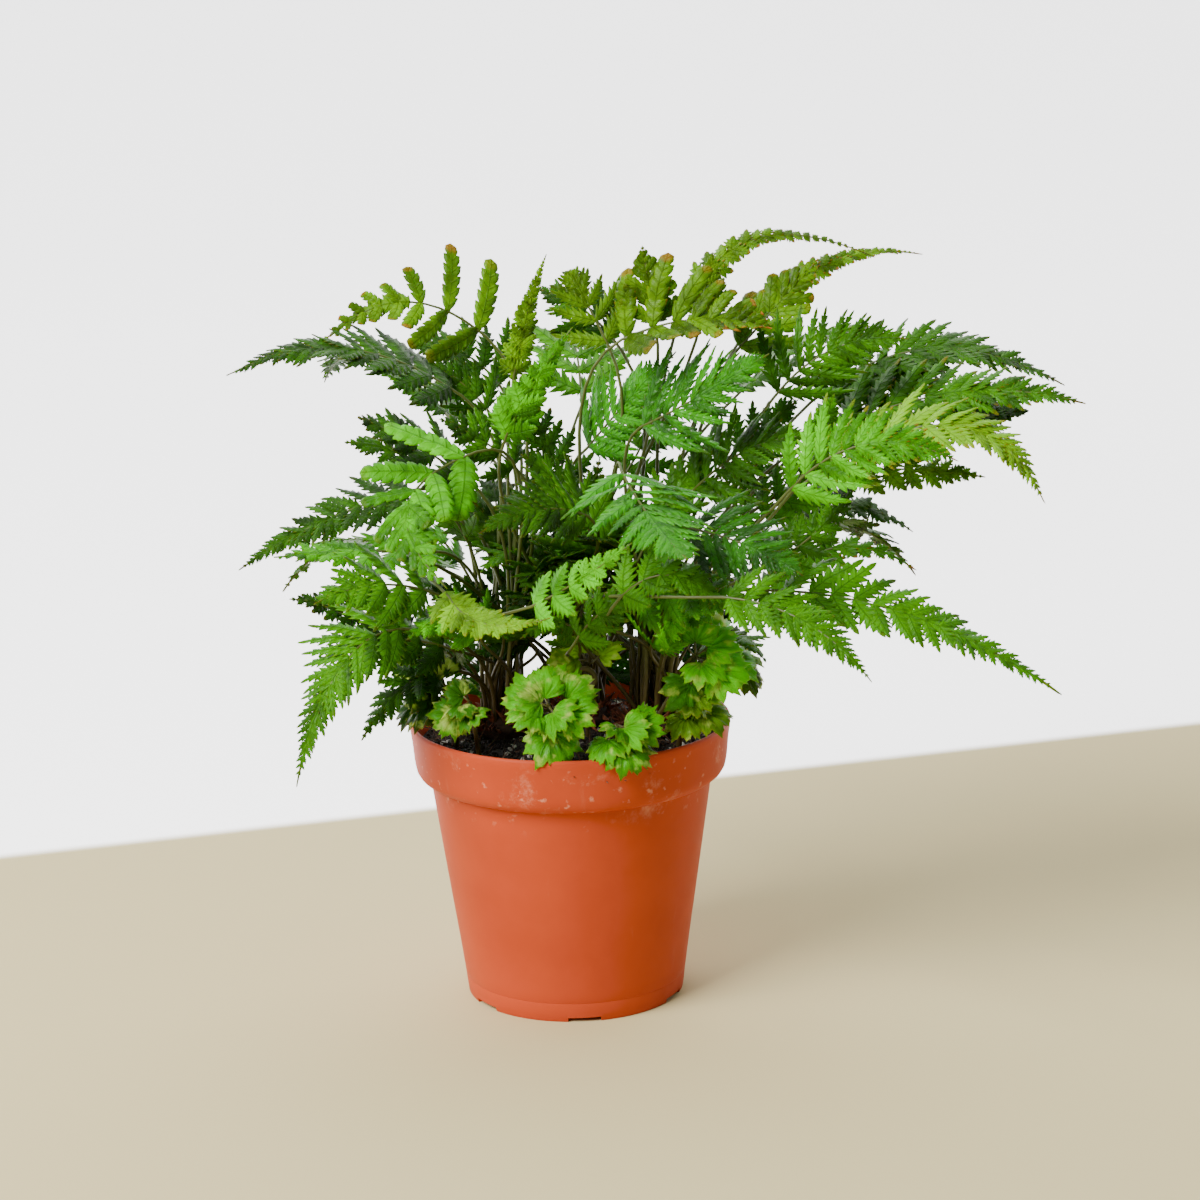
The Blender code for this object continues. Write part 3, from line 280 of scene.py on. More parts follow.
Frond = namedtuple("Frond", "name crown knee middle tip reach face pairs colour angle fold", defaults=(60, 8))
FRONDS = (
    Frond("left_cascade", 0, (-26, -34, 194), (-49, -56, 181), (-36, -84, 161), 29, (-0.35, -0.8, 0.45), 6,
          "lime"),
    Frond("centre_star", 1, (18, -36, 188), (27, -66, 178), (38, -92, 170), 38, (0, -0.35, 0.95), 6, "jade"),
    Frond("centre_fan", 2, (24, -14, 196), (43, -26, 208), (66, -38, 224), 33, (-0.1, -0.85, 0.5), 5, "jade",
          angle=50),
    Frond("top_centre", 1, (18, -4, 223), (43, -10, 231), (68, -20, 229), 34, (0, -0.62, 0.78), 6, "olive",
          angle=74, fold=36),
    Frond("upper_left", 0, (-24, 18, 221), (-52, 14, 235), (-80, 8, 222), 31, (0, -0.85, 0.5), 5, "pale",
          angle=80, fold=22),
    Frond("left_long", 0, (-32, 8, 203), (-70, 0, 222), (-109, -12, 216), 27, (0, -0.35, 0.93), 6, "deep"),
    Frond("top_arch", 2, (43, 14, 235), (68, 22, 253), (106, 30, 244), 9, (0, -0.6, 0.8), 6, "olive"),
    Frond("top_right_tip", 2, (64, 26, 224), (91, 36, 242), (123, 44, 243), 10, (0, -0.6, 0.8), 6, "pale"),
    Frond("far_upper", 2, (81, 14, 197), (121, 12, 216), (166, 4, 204), 32, (0, -0.42, 0.9), 6, "deep"),
    Frond("far_lower", 2, (78, -4, 187), (124, -12, 205), (169, -22, 203), 31, (0, -0.42, 0.9), 6, "mid"),
    Frond("right_droop", 2, (80, -22, 180), (125, -34, 199), (153, -46, 175), 27, (0.1, -0.5, 0.85), 6,
          "pale"),
    Frond("right_low_long", 2, (55, -34, 146), (106, -50, 142), (156, -68, 118), 25, (0.15, -0.65, 0.75), 7,
          "mid"),
    Frond("right_bright", 2, (69, -48, 179), (94, -58, 198), (123, -68, 194), 27, (0, -0.85, 0.5), 5,
          "lime"),
    Frond("right_front", 1, (38, -50, 171), (57, -64, 168), (74, -78, 161), 25, (0, -0.8, 0.6), 5, "jade"),
    Frond("low_bright", 2, (21, -42, 149), (41, -58, 152), (58, -74, 149), 22, (0, -0.8, 0.6), 4, "lime"),
    Frond("left_low_droop", 0, (-51, -36, 136), (-72, -50, 128), (-87, -64, 92), 27, (-0.5, -0.75, 0.4), 6,
          "mid"),
    Frond("left_spear", 1, (-19, -25, 195), (-9, -30, 214), (4, -34, 233), 12, (0.1, -0.9, 0.4), 5, "lime"),
    Frond("front_sweep", 1, (-12, -60, 148), (5, -76, 161), (21, -88, 175), 15, (0, -0.85, 0.5), 5, "lime"),
    Frond("front_pale", 1, (-37, -72, 157), (-25, -86, 150), (-4, -96, 154), 13, (0, -0.6, 0.8), 5, "pale"),
    Frond("centre_high", 1, (7, -4, 187), (19, -14, 203), (37, -24, 223), 26, (-0.2, -0.8, 0.55), 4, "jade"),
    Frond("top_left_arm", 1, (16, 4, 224), (6, 8, 233), (-8, 10, 239), 22, (0, -0.6, 0.8), 4, "mid", 66),
    Frond("top_spear", 0, (-16, -4, 211), (-11, -6, 233), (-4, -8, 253), 8, (0.2, -0.95, 0.2), 5, "pale"),
    Frond("top_right_leaf", 2, (57, 6, 217), (71, 8, 232), (85, 10, 247), 22, (-0.3, -0.8, 0.5), 4, "olive",
          angle=50),
    Frond("left_round", 0, (-49, -17, 130), (-71, -23, 140), (-90, -28, 145), 18, (0, -0.7, 0.7), 4, "deep"),
    Frond("left_shade", 0, (-34, -12, 182), (-50, -20, 195), (-66, -26, 204), 24, (0, -0.6, 0.8), 4, "deep"),
    Frond("left_back", 0, (-20, 26, 202), (-34, 30, 215), (-52, 34, 216), 24, (-0.2, -0.5, 0.85), 4, "deep"),
    Frond("left_long_low", 0, (-48, 4, 174), (-80, -2, 165), (-108, -12, 151), 19, (-0.1, -0.55, 0.85), 6,
          "deep"),
    Frond("left_bright_low", 0, (-40, -34, 161), (-66, -44, 164), (-92, -54, 165), 22, (-0.1, -0.6, 0.8), 5,
          "lime"),
    Frond("left_mid_front", 0, (-43, -40, 149), (-61, -53, 155), (-79, -66, 152), 25, (-0.1, -0.75, 0.65), 5,
          "mid"),
    Frond("low_short", 1, (48, -54, 149), (74, -66, 144), (95, -80, 127), 18, (0, -0.7, 0.7), 5, "mid"),
    Frond("dark_feather", 1, (9, -30, 170), (-8, -42, 176), (-27, -54, 171), 22, (0, -0.8, 0.6), 5, "deep"),
    Frond("right_upper", 2, (68, -8, 203), (88, -14, 221), (112, -22, 225), 27, (0, -0.9, 0.4), 5, "mid"),
    Frond("right_inner", 1, (41, -6, 172), (59, -14, 188), (79, -22, 194), 28, (0, -0.7, 0.7), 5, "mid"),
    Frond("right_thin", 2, (68, 8, 165), (95, 12, 164), (117, 16, 153), 16, (0, -0.5, 0.85), 5, "deep"),
    Frond("right_curl", 2, (64, -16, 142), (89, -22, 157), (114, -28, 150), 15, (0, -0.6, 0.8), 5, "mid"),
    Frond("back_left", 0, (-36, 44, 186), (-68, 82, 206), (-88, 118, 190), 32, (0, 0.35, 0.95), 5, "deep"),
    Frond("back_middle", 1, (6, 54, 190), (2, 94, 210), (-8, 126, 188), 34, (0, 0.4, 0.9), 5, "mid"),
    Frond("back_right", 2, (56, 46, 192), (90, 82, 210), (112, 116, 192), 32, (0, 0.35, 0.95), 5, "mid"),
    Frond("back_low_left", 0, (-40, 40, 136), (-76, 68, 142), (-104, 92, 118), 25, (0, 0.3, 0.95), 5, "mid"),
    Frond("back_low_right", 2, (58, 42, 140), (96, 72, 144), (126, 98, 118), 25, (0, 0.3, 0.95), 5, "deep"),
)
# Fronds with one more leaflet between each two of the solid's, all of them narrower.
CLOSE_FRONDS = {
    "centre_star", "centre_fan", "centre_high", "right_front", "right_bright", "right_upper", "right_inner",
    "far_upper", "far_lower", "right_low_long", "low_short", "left_long", "left_long_low", "left_low_droop",
    "dark_feather", "back_left", "back_middle", "back_right", "right_droop",
}
# Smaller fronds that fill the inside of the plant, each made in one piece with the frond named first.
# Most of them are deep green: partly their own dark colour, partly painted shade for the plant's dark inside.
INNER_FRONDS = (
    ("left_shade", Frond("inner_left", 0, (-3, 10, 119), (-16, 15, 146), (-32, 18, 167), 26,
                         (-0.2, -0.8, 0.55), 6, "deep")),
    ("dark_feather", Frond("inner_middle", 1, (2, 12, 126), (6, 18, 152), (12, 22, 180), 26,
                           (0, -0.85, 0.5), 6, "deep")),
    ("right_inner", Frond("inner_right", 2, (14, 8, 127), (28, 10, 153), (45, 14, 176), 26,
                          (0.2, -0.8, 0.55), 6, "deep")),
    ("right_curl", Frond("low_right", 2, (24, 0, 121), (41, 0, 138), (59, -4, 149), 22, (0.1, -0.8, 0.6), 5,
                         "mid")),
    ("left_round", Frond("low_left", 0, (-10, 0, 119), (-29, -4, 134), (-47, -10, 143), 22,
                         (-0.1, -0.8, 0.6), 5, "deep")),
    ("dark_feather", Frond("centre_left", 1, (11, -10, 152), (2, -14, 173), (-14, -16, 189), 24,
                           (-0.1, -0.8, 0.6), 5, "mid")),
    ("right_inner", Frond("centre_right", 1, (24, -8, 151), (35, -8, 171), (51, -8, 191), 22,
                          (0.1, -0.8, 0.6), 5, "mid")),
    ("left_back", Frond("upper_dark_left", 0, (-2, 20, 159), (-5, 24, 182), (-18, 26, 203), 22,
                        (-0.1, -0.8, 0.6), 5, "deep")),
    ("centre_high", Frond("upper_dark_middle", 1, (19, 26, 171), (29, 30, 191), (26, 32, 207), 22,
                          (0, -0.8, 0.6), 5, "deep")),
    ("right_upper", Frond("upper_dark_right", 2, (45, 20, 165), (63, 22, 184), (79, 22, 198), 24,
                          (0.1, -0.8, 0.6), 5, "deep")),
    ("left_low_droop", Frond("side_left", 0, (-39, -20, 125), (-58, -30, 131), (-80, -38, 127), 20,
                             (-0.2, -0.7, 0.6), 5, "mid")),
    ("left_low_droop", Frond("side_left_low", 0, (-42, -16, 117), (-55, -26, 113), (-68, -34, 98), 18,
                             (-0.4, -0.7, 0.5), 5, "mid")),
    ("left_mid_front", Frond("front_left", 0, (-28, -30, 130), (-37, -44, 141), (-51, -54, 137), 18,
                             (-0.1, -0.8, 0.6), 4, "lime")),
    ("front_pale", Frond("front_low", 1, (4, -20, 124), (-2, -34, 137), (-15, -44, 134), 16,
                         (0, -0.8, 0.6), 4, "mid")),
    ("low_bright", Frond("front_right", 2, (27, -24, 124), (33, -40, 138), (47, -50, 139), 18,
                         (0, -0.8, 0.6), 4, "lime")),
    ("top_left_arm", Frond("top_left", 1, (16, 0, 220), (8, 4, 236), (3, 8, 245), 22, (0, -0.85, 0.5), 4,
                           "olive")),
    ("top_centre", Frond("top_flag", 1, (31, -4, 228), (29, -2, 241), (27, 0, 254), 15, (0, -0.95, 0.3), 4,
                         "olive")),
    ("top_centre", Frond("top_flag_right", 1, (46, 0, 229), (48, 0, 239), (50, 2, 251), 13,
                         (0, -0.95, 0.3), 4, "olive")),
    ("right_droop", Frond("right_under", 2, (94, -10, 180), (116, -16, 181), (137, -20, 179), 16,
                          (0, -0.7, 0.7), 5, "pale")),
    ("far_upper", Frond("right_over", 2, (92, 6, 194), (112, 8, 206), (132, 10, 216), 22,
                        (0, -0.7, 0.7), 5, "deep")),
    ("right_upper", Frond("right_middle", 2, (64, -4, 163), (78, -6, 176), (94, -8, 190), 20,
                          (0, -0.8, 0.6), 5, "mid")),
    ("left_back", Frond("left_upper", 0, (-21, 12, 192), (-31, 14, 205), (-44, 14, 215), 20,
                        (-0.1, -0.7, 0.7), 5, "deep")),
    ("left_cascade", Frond("left_inner", 0, (-15, -4, 181), (-27, -10, 193), (-40, -16, 201), 18,
                           (-0.1, -0.8, 0.6), 4, "mid")),
    ("right_bright", Frond("right_upright", 2, (81, -30, 191), (84, -32, 201), (87, -34, 210), 9,
                           (0, -0.9, 0.4), 4, "lime")),
    ("right_front", Frond("right_step", 2, (69, -30, 155), (82, -34, 166), (94, -36, 180), 15,
                          (0, -0.85, 0.5), 5, "mid")),
    ("low_bright", Frond("cover_right", 2, (16, -62, 150), (34, -69, 160), (53, -76, 147), 16,
                         (0, -0.75, 0.65), 5, "mid")),
    ("back_left", Frond("low_back_left", 0, (-24, 20, 102), (-36, 29, 109), (-49, 35, 113), 23,
                        (0, -0.8, 0.6), 4, "deep")),
    ("back_middle", Frond("low_back_middle", 1, (4, 26, 102), (16, 32, 108), (32, 36, 112), 23,
                          (0, -0.8, 0.6), 4, "deep")),
    ("back_right", Frond("low_back_right", 2, (34, 20, 102), (46, 28, 109), (60, 32, 113), 23,
                         (0, -0.8, 0.6), 4, "deep")),
    ("front_sweep", Frond("cover_middle", 1, (3, -48, 134), (12, -56, 146), (26, -62, 155), 16,
                          (0, -0.8, 0.6), 4, "mid")),
    ("left_round", Frond("left_dark", 0, (-46, 0, 182), (-58, -4, 189), (-72, -6, 192), 15,
                         (0, -0.6, 0.8), 4, "deep")),
    ("far_lower", Frond("right_lump", 2, (126, -4, 199), (140, -8, 198), (152, -12, 199), 13,
                        (0, -0.6, 0.8), 4, "deep")),
)
INNER_ROOT_RADIUS = 5.5 * MM
UNDERGROWTH = "under"
UNDERGROWTH_COUNT = 42
UNDERGROWTH_TURN = math.radians(137.5)
UNDERGROWTH_SWING = 0.2
# Ranges in millimetres that the undergrowth is drawn from, and how much its blades face up and inwards.
UNDERGROWTH_HEIGHTS = (112.0, 158.0)
UNDERGROWTH_DISTANCES = (9.0, 24.0)
UNDERGROWTH_STEPS = (9.0, 15.0)
UNDERGROWTH_RISES = (6.0, 15.0)
UNDERGROWTH_NODS = (-8.0, 8.0)
UNDERGROWTH_REACHES = (16.0, 22.0)
UNDERGROWTH_FACES = (0.5, 0.9)
UNDERGROWTH_LEAN = -0.45
UNDERGROWTH_PAIRS = 2
# Half the undergrowth is deep green: partly its own dark colour, partly painted shade low in the plant.
UNDERGROWTH_COLOURS = ("deep", "deep", "mid", "deep", "mid", "lime")

# How far a frond's leaflet tips have dried, from 0 to 1, where it isn't the usual little.
DRYNESS = {
    "top_arch": 0.9, "top_right_tip": 1.0, "top_centre": 0.75, "upper_left": 0.7, "right_bright": 0.5,
    "right_droop": 0.4, "top_right_leaf": 0.45, "right_curl": 0.7, "far_lower": 0.35, "front_pale": 0.3,
}
USUAL_DRYNESS = 0.12
DRY_SHARES = (0.3, 1.0)
STRAP_DRYNESS = 1.5
YOUNG_BLOTCHES = 0.75
# A frond's tone goes from 0 for dark to 1 for light, and each leaflet's own tone differs a little.
FROND_TONES = (0.2, 0.8)
TONE_RANGE = 0.25
PLASTIC_GLOSS = 0.10
LEAF_GLOSS = 0.13
JADE_GLOSS = 0.28
LIGHT_SHARE = 1.85
DARK_SHARE = 0.40
LEAF_SUBSURFACE = {"Weight": 0.22, "Radius": (0.5, 1.0, 0.05), "Scale": 0.0012}
# Heights in metres where the pot's scuffs come in and go out, and where stalks turn from brown to olive.
SCUFFS_BELOW = (0.066, 0.080)
SCUFFS_ABOVE = (0.0965, 0.088)
STALKS_TURN = (0.115, 0.175)
# Speckled materials: brightness of the dark specks, fineness of the grain and roughness.
SPECKLES = {
    "perlite": (0.55, 1500.0, 0.85), "peat_fibre": (0.4, 900.0, 0.8), "rootstock": (0.4, 500.0, 0.9),
    "crown_scale": (0.45, 400.0, 0.75),
}

Sprout = namedtuple("Sprout", "name place hub face leaves colour")
SPROUTS = (
    Sprout("sprout_front", (-8, -37), (-6, -44, 111), (0.0, -0.75, 0.65),
           ((88, 5, 11), (32, 6, 11), (146, 5, 11), (206, 5, 10), (268, 7, 12), (332, 6, 11)), "lime"),
    Sprout("sprout_front_right", (15, -38), (15, -46, 105), (0.1, -0.7, 0.7),
           ((295, 6, 11), (352, 6, 10), (232, 5, 9)), "lime"),
    Sprout("sprout_left", (-38, -12), (-40, -21, 111), (-0.3, -0.6, 0.7),
           ((204, 6, 13), (256, 7, 12), (143, 5, 11)), "mid"),
    Sprout("sprout_front_left", (-30, -28), (-32, -36, 111), (-0.1, -0.7, 0.7),
           ((211, 5, 9), (274, 4, 8), (121, 4, 8)), "lime"),
    Sprout("sprout_right", (24, -22), (42, -30, 124), (0.1, -0.8, 0.5),
           ((3, 8, 13), (318, 8, 12), (62, 7, 12), (132, 6, 11), (262, 9, 12)), "lime"),
    Sprout("sprout_right_front", (36, -24), (38, -33, 109), (0.2, -0.6, 0.8),
           ((318, 6, 10), (23, 5, 9), (247, 5, 9)), "olive"),
    Sprout("sprout_middle", (6, -8), (6, -11, 117), (0.0, -0.6, 0.8),
           ((91, 5, 9), (18, 5, 9), (163, 5, 9)), "pale"),
    Sprout("sprout_right_back", (44, 6), (54, 2, 113), (0.5, -0.4, 0.8),
           ((8, 5, 10), (67, 5, 9), (297, 5, 9)), "olive"),
    Sprout("sprout_left_back", (-40, 14), (-46, 4, 119), (-0.3, -0.5, 0.8),
           ((171, 6, 11), (112, 6, 10), (233, 6, 10)), "lime"),
)
SPROUT_FOOT_HEIGHT = 85.5 * MM
SPROUT_BEND_HEIGHT = 92.0 * MM
SPROUT_STEM_RADII = (0.9 * MM, 0.6 * MM)
SPROUT_STEM_BOW = 0.6
PETIOLE_RADII = (0.42 * MM, 0.32 * MM)
PETIOLE_SIDES = 6
PETIOLE_SAG = -0.08
PETIOLE_PAST = 0.14
LEAF_ROOT_STEP = 0.13 * MM
LEAF_ROOT_BACK = 1.3
LEAF_TURN_RANGE = 9.0
LEAF_NOD_RANGE = 0.12
LEAF_NODS = (0.0, 0.5)
LEAF_CUP = 0.14
LEAF_DROOP = 0.24
LEAF_ROLL = math.radians(30.0)
FAN_VEINS = 16.0
Whorl = namedtuple("Whorl", "share size turn nod lift every")
WHORLS = (Whorl(0.9, 1.0, 0.0, 0.05, 0.0, 1), Whorl(0.4, 0.85, 27.0, 0.6, 2.6, 2))
# Young plants in the shade of the fronds, whose leaves are darkened as painted shade.
PAINTED_SHADE_SPROUTS = ("sprout_front_left", "sprout_left", "sprout_left_back")
PAINTED_SHADE_TONE = -0.7
YOUNG_TONES = (0.1, 0.9)

CROZIER_PLACE = Vector((1.0, -15.0, 0.0)) * MM
CROZIER_HEIGHT = 112.0 * MM
CROZIER_FOOT_HEIGHTS = (86.0, 95.0)
CROZIER_SIDES = 12
CROZIER_RADIUS = 1.05 * MM
CROZIER_END_SHRINK = 0.35
CROZIER_COIL = 4.4 * MM
CROZIER_COIL_SHRINK = 0.62
CROZIER_TURNS = 1.3
CROZIER_STEPS = 40


def colour_value(name, description, default):
    return bpy.props.FloatVectorProperty(
        name=name, description=description, default=default, size=3, min=0.0, max=1.0, subtype="COLOR"
    )


def length_value(name, description, default):
    return bpy.props.FloatProperty(
        name=name, description=description, default=default, min=0.0, subtype="DISTANCE", unit="LENGTH"
    )


def share_value(name, description, default, top=1.0):
    return bpy.props.FloatProperty(
        name=name, description=description, default=default, min=0.0, max=top, subtype="FACTOR"
    )


def count_value(name, description, default):
    return bpy.props.IntProperty(name=name, description=description, default=default, min=0)


def power_value(name, description, default):
    return bpy.props.FloatProperty(
        name=name, description=description, default=default, min=0.0, subtype="POWER", unit="POWER"
    )


class PotLooks(bpy.types.PropertyGroup):
    plastic: colour_value("Plastic", "Main colour of the pot", (0.51, 0.066, 0.021))
    shade: colour_value("Shade", "Darker colour that the plastic varies towards", (0.45, 0.056, 0.017))
    scuff: colour_value("Scuffs", "Colour of the dusty scuffs", (0.86, 0.46, 0.31))
    roughness: share_value("Roughness", "Roughness of clean plastic", 0.48)
    sides: count_value("Sides", "Number of sides round the pot", 160)


class MixLooks(bpy.types.PropertyGroup):
    dark: colour_value("Dark", "Colour of moist mix", (0.012, 0.008, 0.006))
    light: colour_value("Light", "Colour of dry crumbs", (0.055, 0.034, 0.022))
    perlite: colour_value("Perlite", "Colour of the white grains", (0.62, 0.60, 0.54))
    fibre: colour_value("Fibre", "Colour of the fibres", (0.16, 0.085, 0.045))
    lump: length_value("Lumps", "Height of the surface's lumps", 1.3 * MM)
    crumbs: count_value("Crumbs", "Crumbs on a square metre", 420000)
    grains: count_value("White grains", "White grains on a square metre", 26000)
    fibres: count_value("Fibres", "Fibres on a square metre", 42000)


class CrownLooks(bpy.types.PropertyGroup):
    scale: colour_value("Scales", "Colour of the papery scales", (0.30, 0.085, 0.03))
    core: colour_value("Core", "Colour of the rootstock", (0.07, 0.032, 0.018))
    scales: count_value("Number of scales", "Scales on a square metre", 240000)
    length: length_value("Scale length", "Length of one scale", 6.5 * MM)


class LeafLooks(bpy.types.PropertyGroup):
    pale: colour_value("Pale", "Young yellow-green blades", (0.118, 0.28, 0.001))
    lime: colour_value("Lime", "Bright green blades", (0.067, 0.34, 0.0))
    mid: colour_value("Mid", "Usual green blades", (0.035, 0.142, 0.0))
    jade: colour_value("Jade", "Glossy blue-green blades", (0.024, 0.175, 0.0))
    # Deep: old dark fronds, and on the fronds inside the plant also painted shade.
    deep: colour_value("Deep", "Old dark blades", (0.022, 0.088, 0.0))
    olive: colour_value("Olive", "Sunned blades", (0.070, 0.165, 0.0))
    blotch: colour_value("Blotches", "Pale blotches on young leaves", (0.48, 0.64, 0.11))
    rib: colour_value("Stalk streaks", "Light streaks along the stalks", (0.13, 0.16, 0.03))
    dry: colour_value("Dry", "Dried tips and edges", (0.42, 0.13, 0.02))
    stalk: colour_value("Stalks", "Upper stalks", (0.048, 0.072, 0.006))
    stalk_root: colour_value("Stalk roots", "Lower stalks", (0.085, 0.034, 0.011))
    thickness: length_value("Thickness", "Thickness of a blade", 0.34 * MM)
    ripple: length_value("Ripple", "Height of the ripples in a blade", 2.6 * MM)
    ripple_size: length_value("Ripple size", "Distance between ripples", 9.0 * MM)


class StageLooks(bpy.types.PropertyGroup):
    floor: colour_value("Floor", "Colour of the floor under the pot", (0.61, 0.52, 0.265))
    wall: colour_value("Wall", "Colour of the floor's far part and the wall", (0.86, 0.86, 0.87))
    glow: share_value("Wall glow", "How much the far part and the wall shine by themselves", 2.5, 4.0)
    key: power_value("Key", "Power of the main light", 92.0)
    fill: power_value("Fill", "Power of the fill light", 1.5)
    back: power_value("Back", "Power of the light over the plant's back", 9.0)
    sky: share_value("Sky", "Strength of the light from all round", 0.15, 4.0)


# Building blocks


def link_mesh(name, mesh, materials=()):
    obj = bpy.data.objects.new(name, mesh)
    bpy.context.scene.collection.objects.link(obj)
    for material in materials:
        mesh.materials.append(material)
    return obj


def plain_points(name, points, faces=()):
    mesh = bpy.data.meshes.new(name)
    mesh.from_pydata([tuple(point) for point in points], [], faces)
    return mesh


def finish_work(name, work):
    """The edited shape as a mesh; the working copy is freed."""
    mesh = bpy.data.meshes.new(name)
    work.to_mesh(mesh)
    work.free()
    return mesh


def set_outward(mesh, weld=0.0):
    """Turns the mesh's faces outwards, after welding points that lie within the given distance."""
    work = bmesh.new()
    work.from_mesh(mesh)
    if weld:
        bmesh.ops.remove_doubles(work, verts=work.verts, dist=weld)
    bmesh.ops.recalc_face_normals(work, faces=work.faces)
    work.to_mesh(mesh)
    work.free()


def outward_mesh(name, points, faces):
    mesh = plain_points(name, points, faces)
    set_outward(mesh)
    return mesh


def store(mesh, name, values):
    """Stores a vector with each of the mesh's points."""
    at = mesh.attributes.new(name, "FLOAT_VECTOR", "POINT")
    at.data.foreach_set("vector", np.array([tuple(value) for value in values], float).ravel())


def shape_collection(name, meshes):
    """Up to ten shapes for a tree to pick from, in the order of their names."""
    shapes = bpy.data.collections.new(name)
    for i, mesh in enumerate(meshes):
        shapes.objects.link(bpy.data.objects.new(f"{name}_{i}", mesh))
    return shapes


def plain_mesh(obj):
    """The object's evaluated shape as a plain mesh; the object is removed."""
    graph = bpy.context.evaluated_depsgraph_get()
    mesh = bpy.data.meshes.new_from_object(obj.evaluated_get(graph), depsgraph=graph)
    bpy.data.objects.remove(obj)
    return mesh


def joined(name, meshes):
    """One mesh object from several meshes; materials are kept."""
    objects = [link_mesh(name, mesh) for mesh in meshes]
    if len(objects) > 1:
        with bpy.context.temp_override(
            active_object=objects[0], object=objects[0], selected_editable_objects=objects,
            selected_objects=objects,
        ):
            bpy.ops.object.join()
    whole = objects[0]
    whole.name = name
    whole.data.name = name
    return whole


def finish_piece(piece, nodes, smooth_angle=None):
    """Places the piece over the pot's axis, shades it and ties it to the frame."""
    piece.data.transform(Matrix.Translation(AXIS))
    piece.data.shade_smooth()
    if smooth_angle is not None:
        piece.data.set_sharp_from_angle(angle=smooth_angle)
    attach(piece, BODY)
    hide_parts(*nodes)
    return piece


def tube_mesh(points, radii, material, sides=STALK_SIDES):
    """A round rod through the points, with closed ends."""
    curve = bpy.data.curves.new("rod", "CURVE")
    curve.dimensions = "3D"
    curve.twist_mode = "MINIMUM"
    curve.bevel_depth = 1.0
    curve.bevel_resolution = sides // 2 - 2
    curve.use_fill_caps = True
    spline = curve.splines.new("POLY")
    spline.points.add(len(points) - 1)
    for target, point, radius in zip(spline.points, points, radii):
        target.co = (*point, 1.0)
        target.radius = radius
    curve.materials.append(material)
    obj = bpy.data.objects.new("rod", curve)
    bpy.context.scene.collection.objects.link(obj)
    mesh = plain_mesh(obj)
    set_outward(mesh, WELD)
    return mesh


def add_node(tree, kind, inputs=None, **settings):
    """Adds a node, sets its properties, and sets or links its inputs by name or number."""
    node = tree.nodes.new(kind)
    for key, value in settings.items():
        setattr(node, key, value)
    for key, value in (inputs or {}).items():
        if isinstance(value, bpy.types.NodeSocket):
            tree.links.new(value, node.inputs[key])
        else:
            node.inputs[key].default_value = value
    return node


def calc(tree, operation, *values, clamp=False):
    """A Math node's result."""
    node = add_node(tree, "ShaderNodeMath", dict(enumerate(values)), operation=operation, use_clamp=clamp)
    return node.outputs[0]


def vector_calc(tree, operation, *values):
    """A Vector Math node's result; scaling takes the factor last."""
    keys = (0, "Scale") if operation == "SCALE" else range(len(values))
    node = add_node(tree, "ShaderNodeVectorMath", dict(zip(keys, values)), operation=operation)
    return node.outputs[0]


def split(tree, vector):
    return add_node(tree, "ShaderNodeSeparateXYZ", {0: vector}).outputs


def geometry_tree(name, numbers):
    """A tree that takes shapes, a seed, a material and the named numbers, as (tree, its inputs, its end)."""
    tree = bpy.data.node_groups.new(name, "GeometryNodeTree")
    kinds = {"Geometry": "Geometry", "Shapes": "Collection", "Seed": "Int", "Material": "Material"}
    for label in (*kinds, *numbers):
        kind = "NodeSocket" + kinds.get(label, "Float")
        tree.interface.new_socket(label, in_out="INPUT", socket_type=kind)
    tree.interface.new_socket("Geometry", in_out="OUTPUT", socket_type="NodeSocketGeometry")
    return tree, tree.nodes.new("NodeGroupInput").outputs, tree.nodes.new("NodeGroupOutput")


def real_copies(tree, give, inputs):
    """Copies of the tree's shapes on points, as real geometry."""
    shapes = add_node(
        tree, "GeometryNodeCollectionInfo",
        {"Collection": give["Shapes"], "Separate Children": True, "Reset Children": True},
    )
    inputs = {"Instance": shapes.outputs[0], "Pick Instance": True, **inputs}
    placed = add_node(tree, "GeometryNodeInstanceOnPoints", inputs)
    return add_node(tree, "GeometryNodeRealizeInstances", {0: placed.outputs[0]}).outputs[0]


def ended(tree, give, result, geometry):
    """The tree, with its material set on the geometry that it gives."""
    shaded = add_node(tree, "GeometryNodeSetMaterial", {"Geometry": geometry, "Material": give["Material"]})
    tree.links.new(shaded.outputs[0], result.inputs[0])
    return tree


def apply_tree(obj, tree, values):
    """Runs the tree on the object with these inputs and gives the plain mesh; the object is removed."""
    modifier = obj.modifiers.new(tree.name, "NODES")
    modifier.node_group = tree
    for item in tree.interface.items_tree:
        if item.in_out == "INPUT" and item.name in values:
            modifier[item.identifier] = values[item.name]
    return plain_mesh(obj)


def named(tree, name, kind="FLOAT_VECTOR"):
    return add_node(tree, "GeometryNodeInputNamedAttribute", {"Name": name}, data_type=kind).outputs[0]


# Materials


def new_material(name):
    """A material with its tree, its shader and its object coordinates."""
    material = bpy.data.materials.new(name)
    material.use_nodes = True
    tree = material.node_tree
    shader = tree.nodes["Principled BSDF"]
    place = tree.nodes.new("ShaderNodeTexCoord").outputs["Object"]
    return material, tree, shader, place


def noise(tree, place, scale, detail=4.0, roughness=0.55):
    values = {"Vector": place, "Scale": scale, "Detail": detail, "Roughness": roughness}
    node = add_node(tree, "ShaderNodeTexNoise", values)
    return node.outputs["Fac"]


def ramp(tree, value, low, high):
    """The value stretched so that low gives 0 and high gives 1, with soft ends."""
    node = add_node(
        tree, "ShaderNodeMapRange", {"Value": value, "From Min": low, "From Max": high},
        interpolation_type="SMOOTHSTEP",
    )
    return node.outputs["Result"]


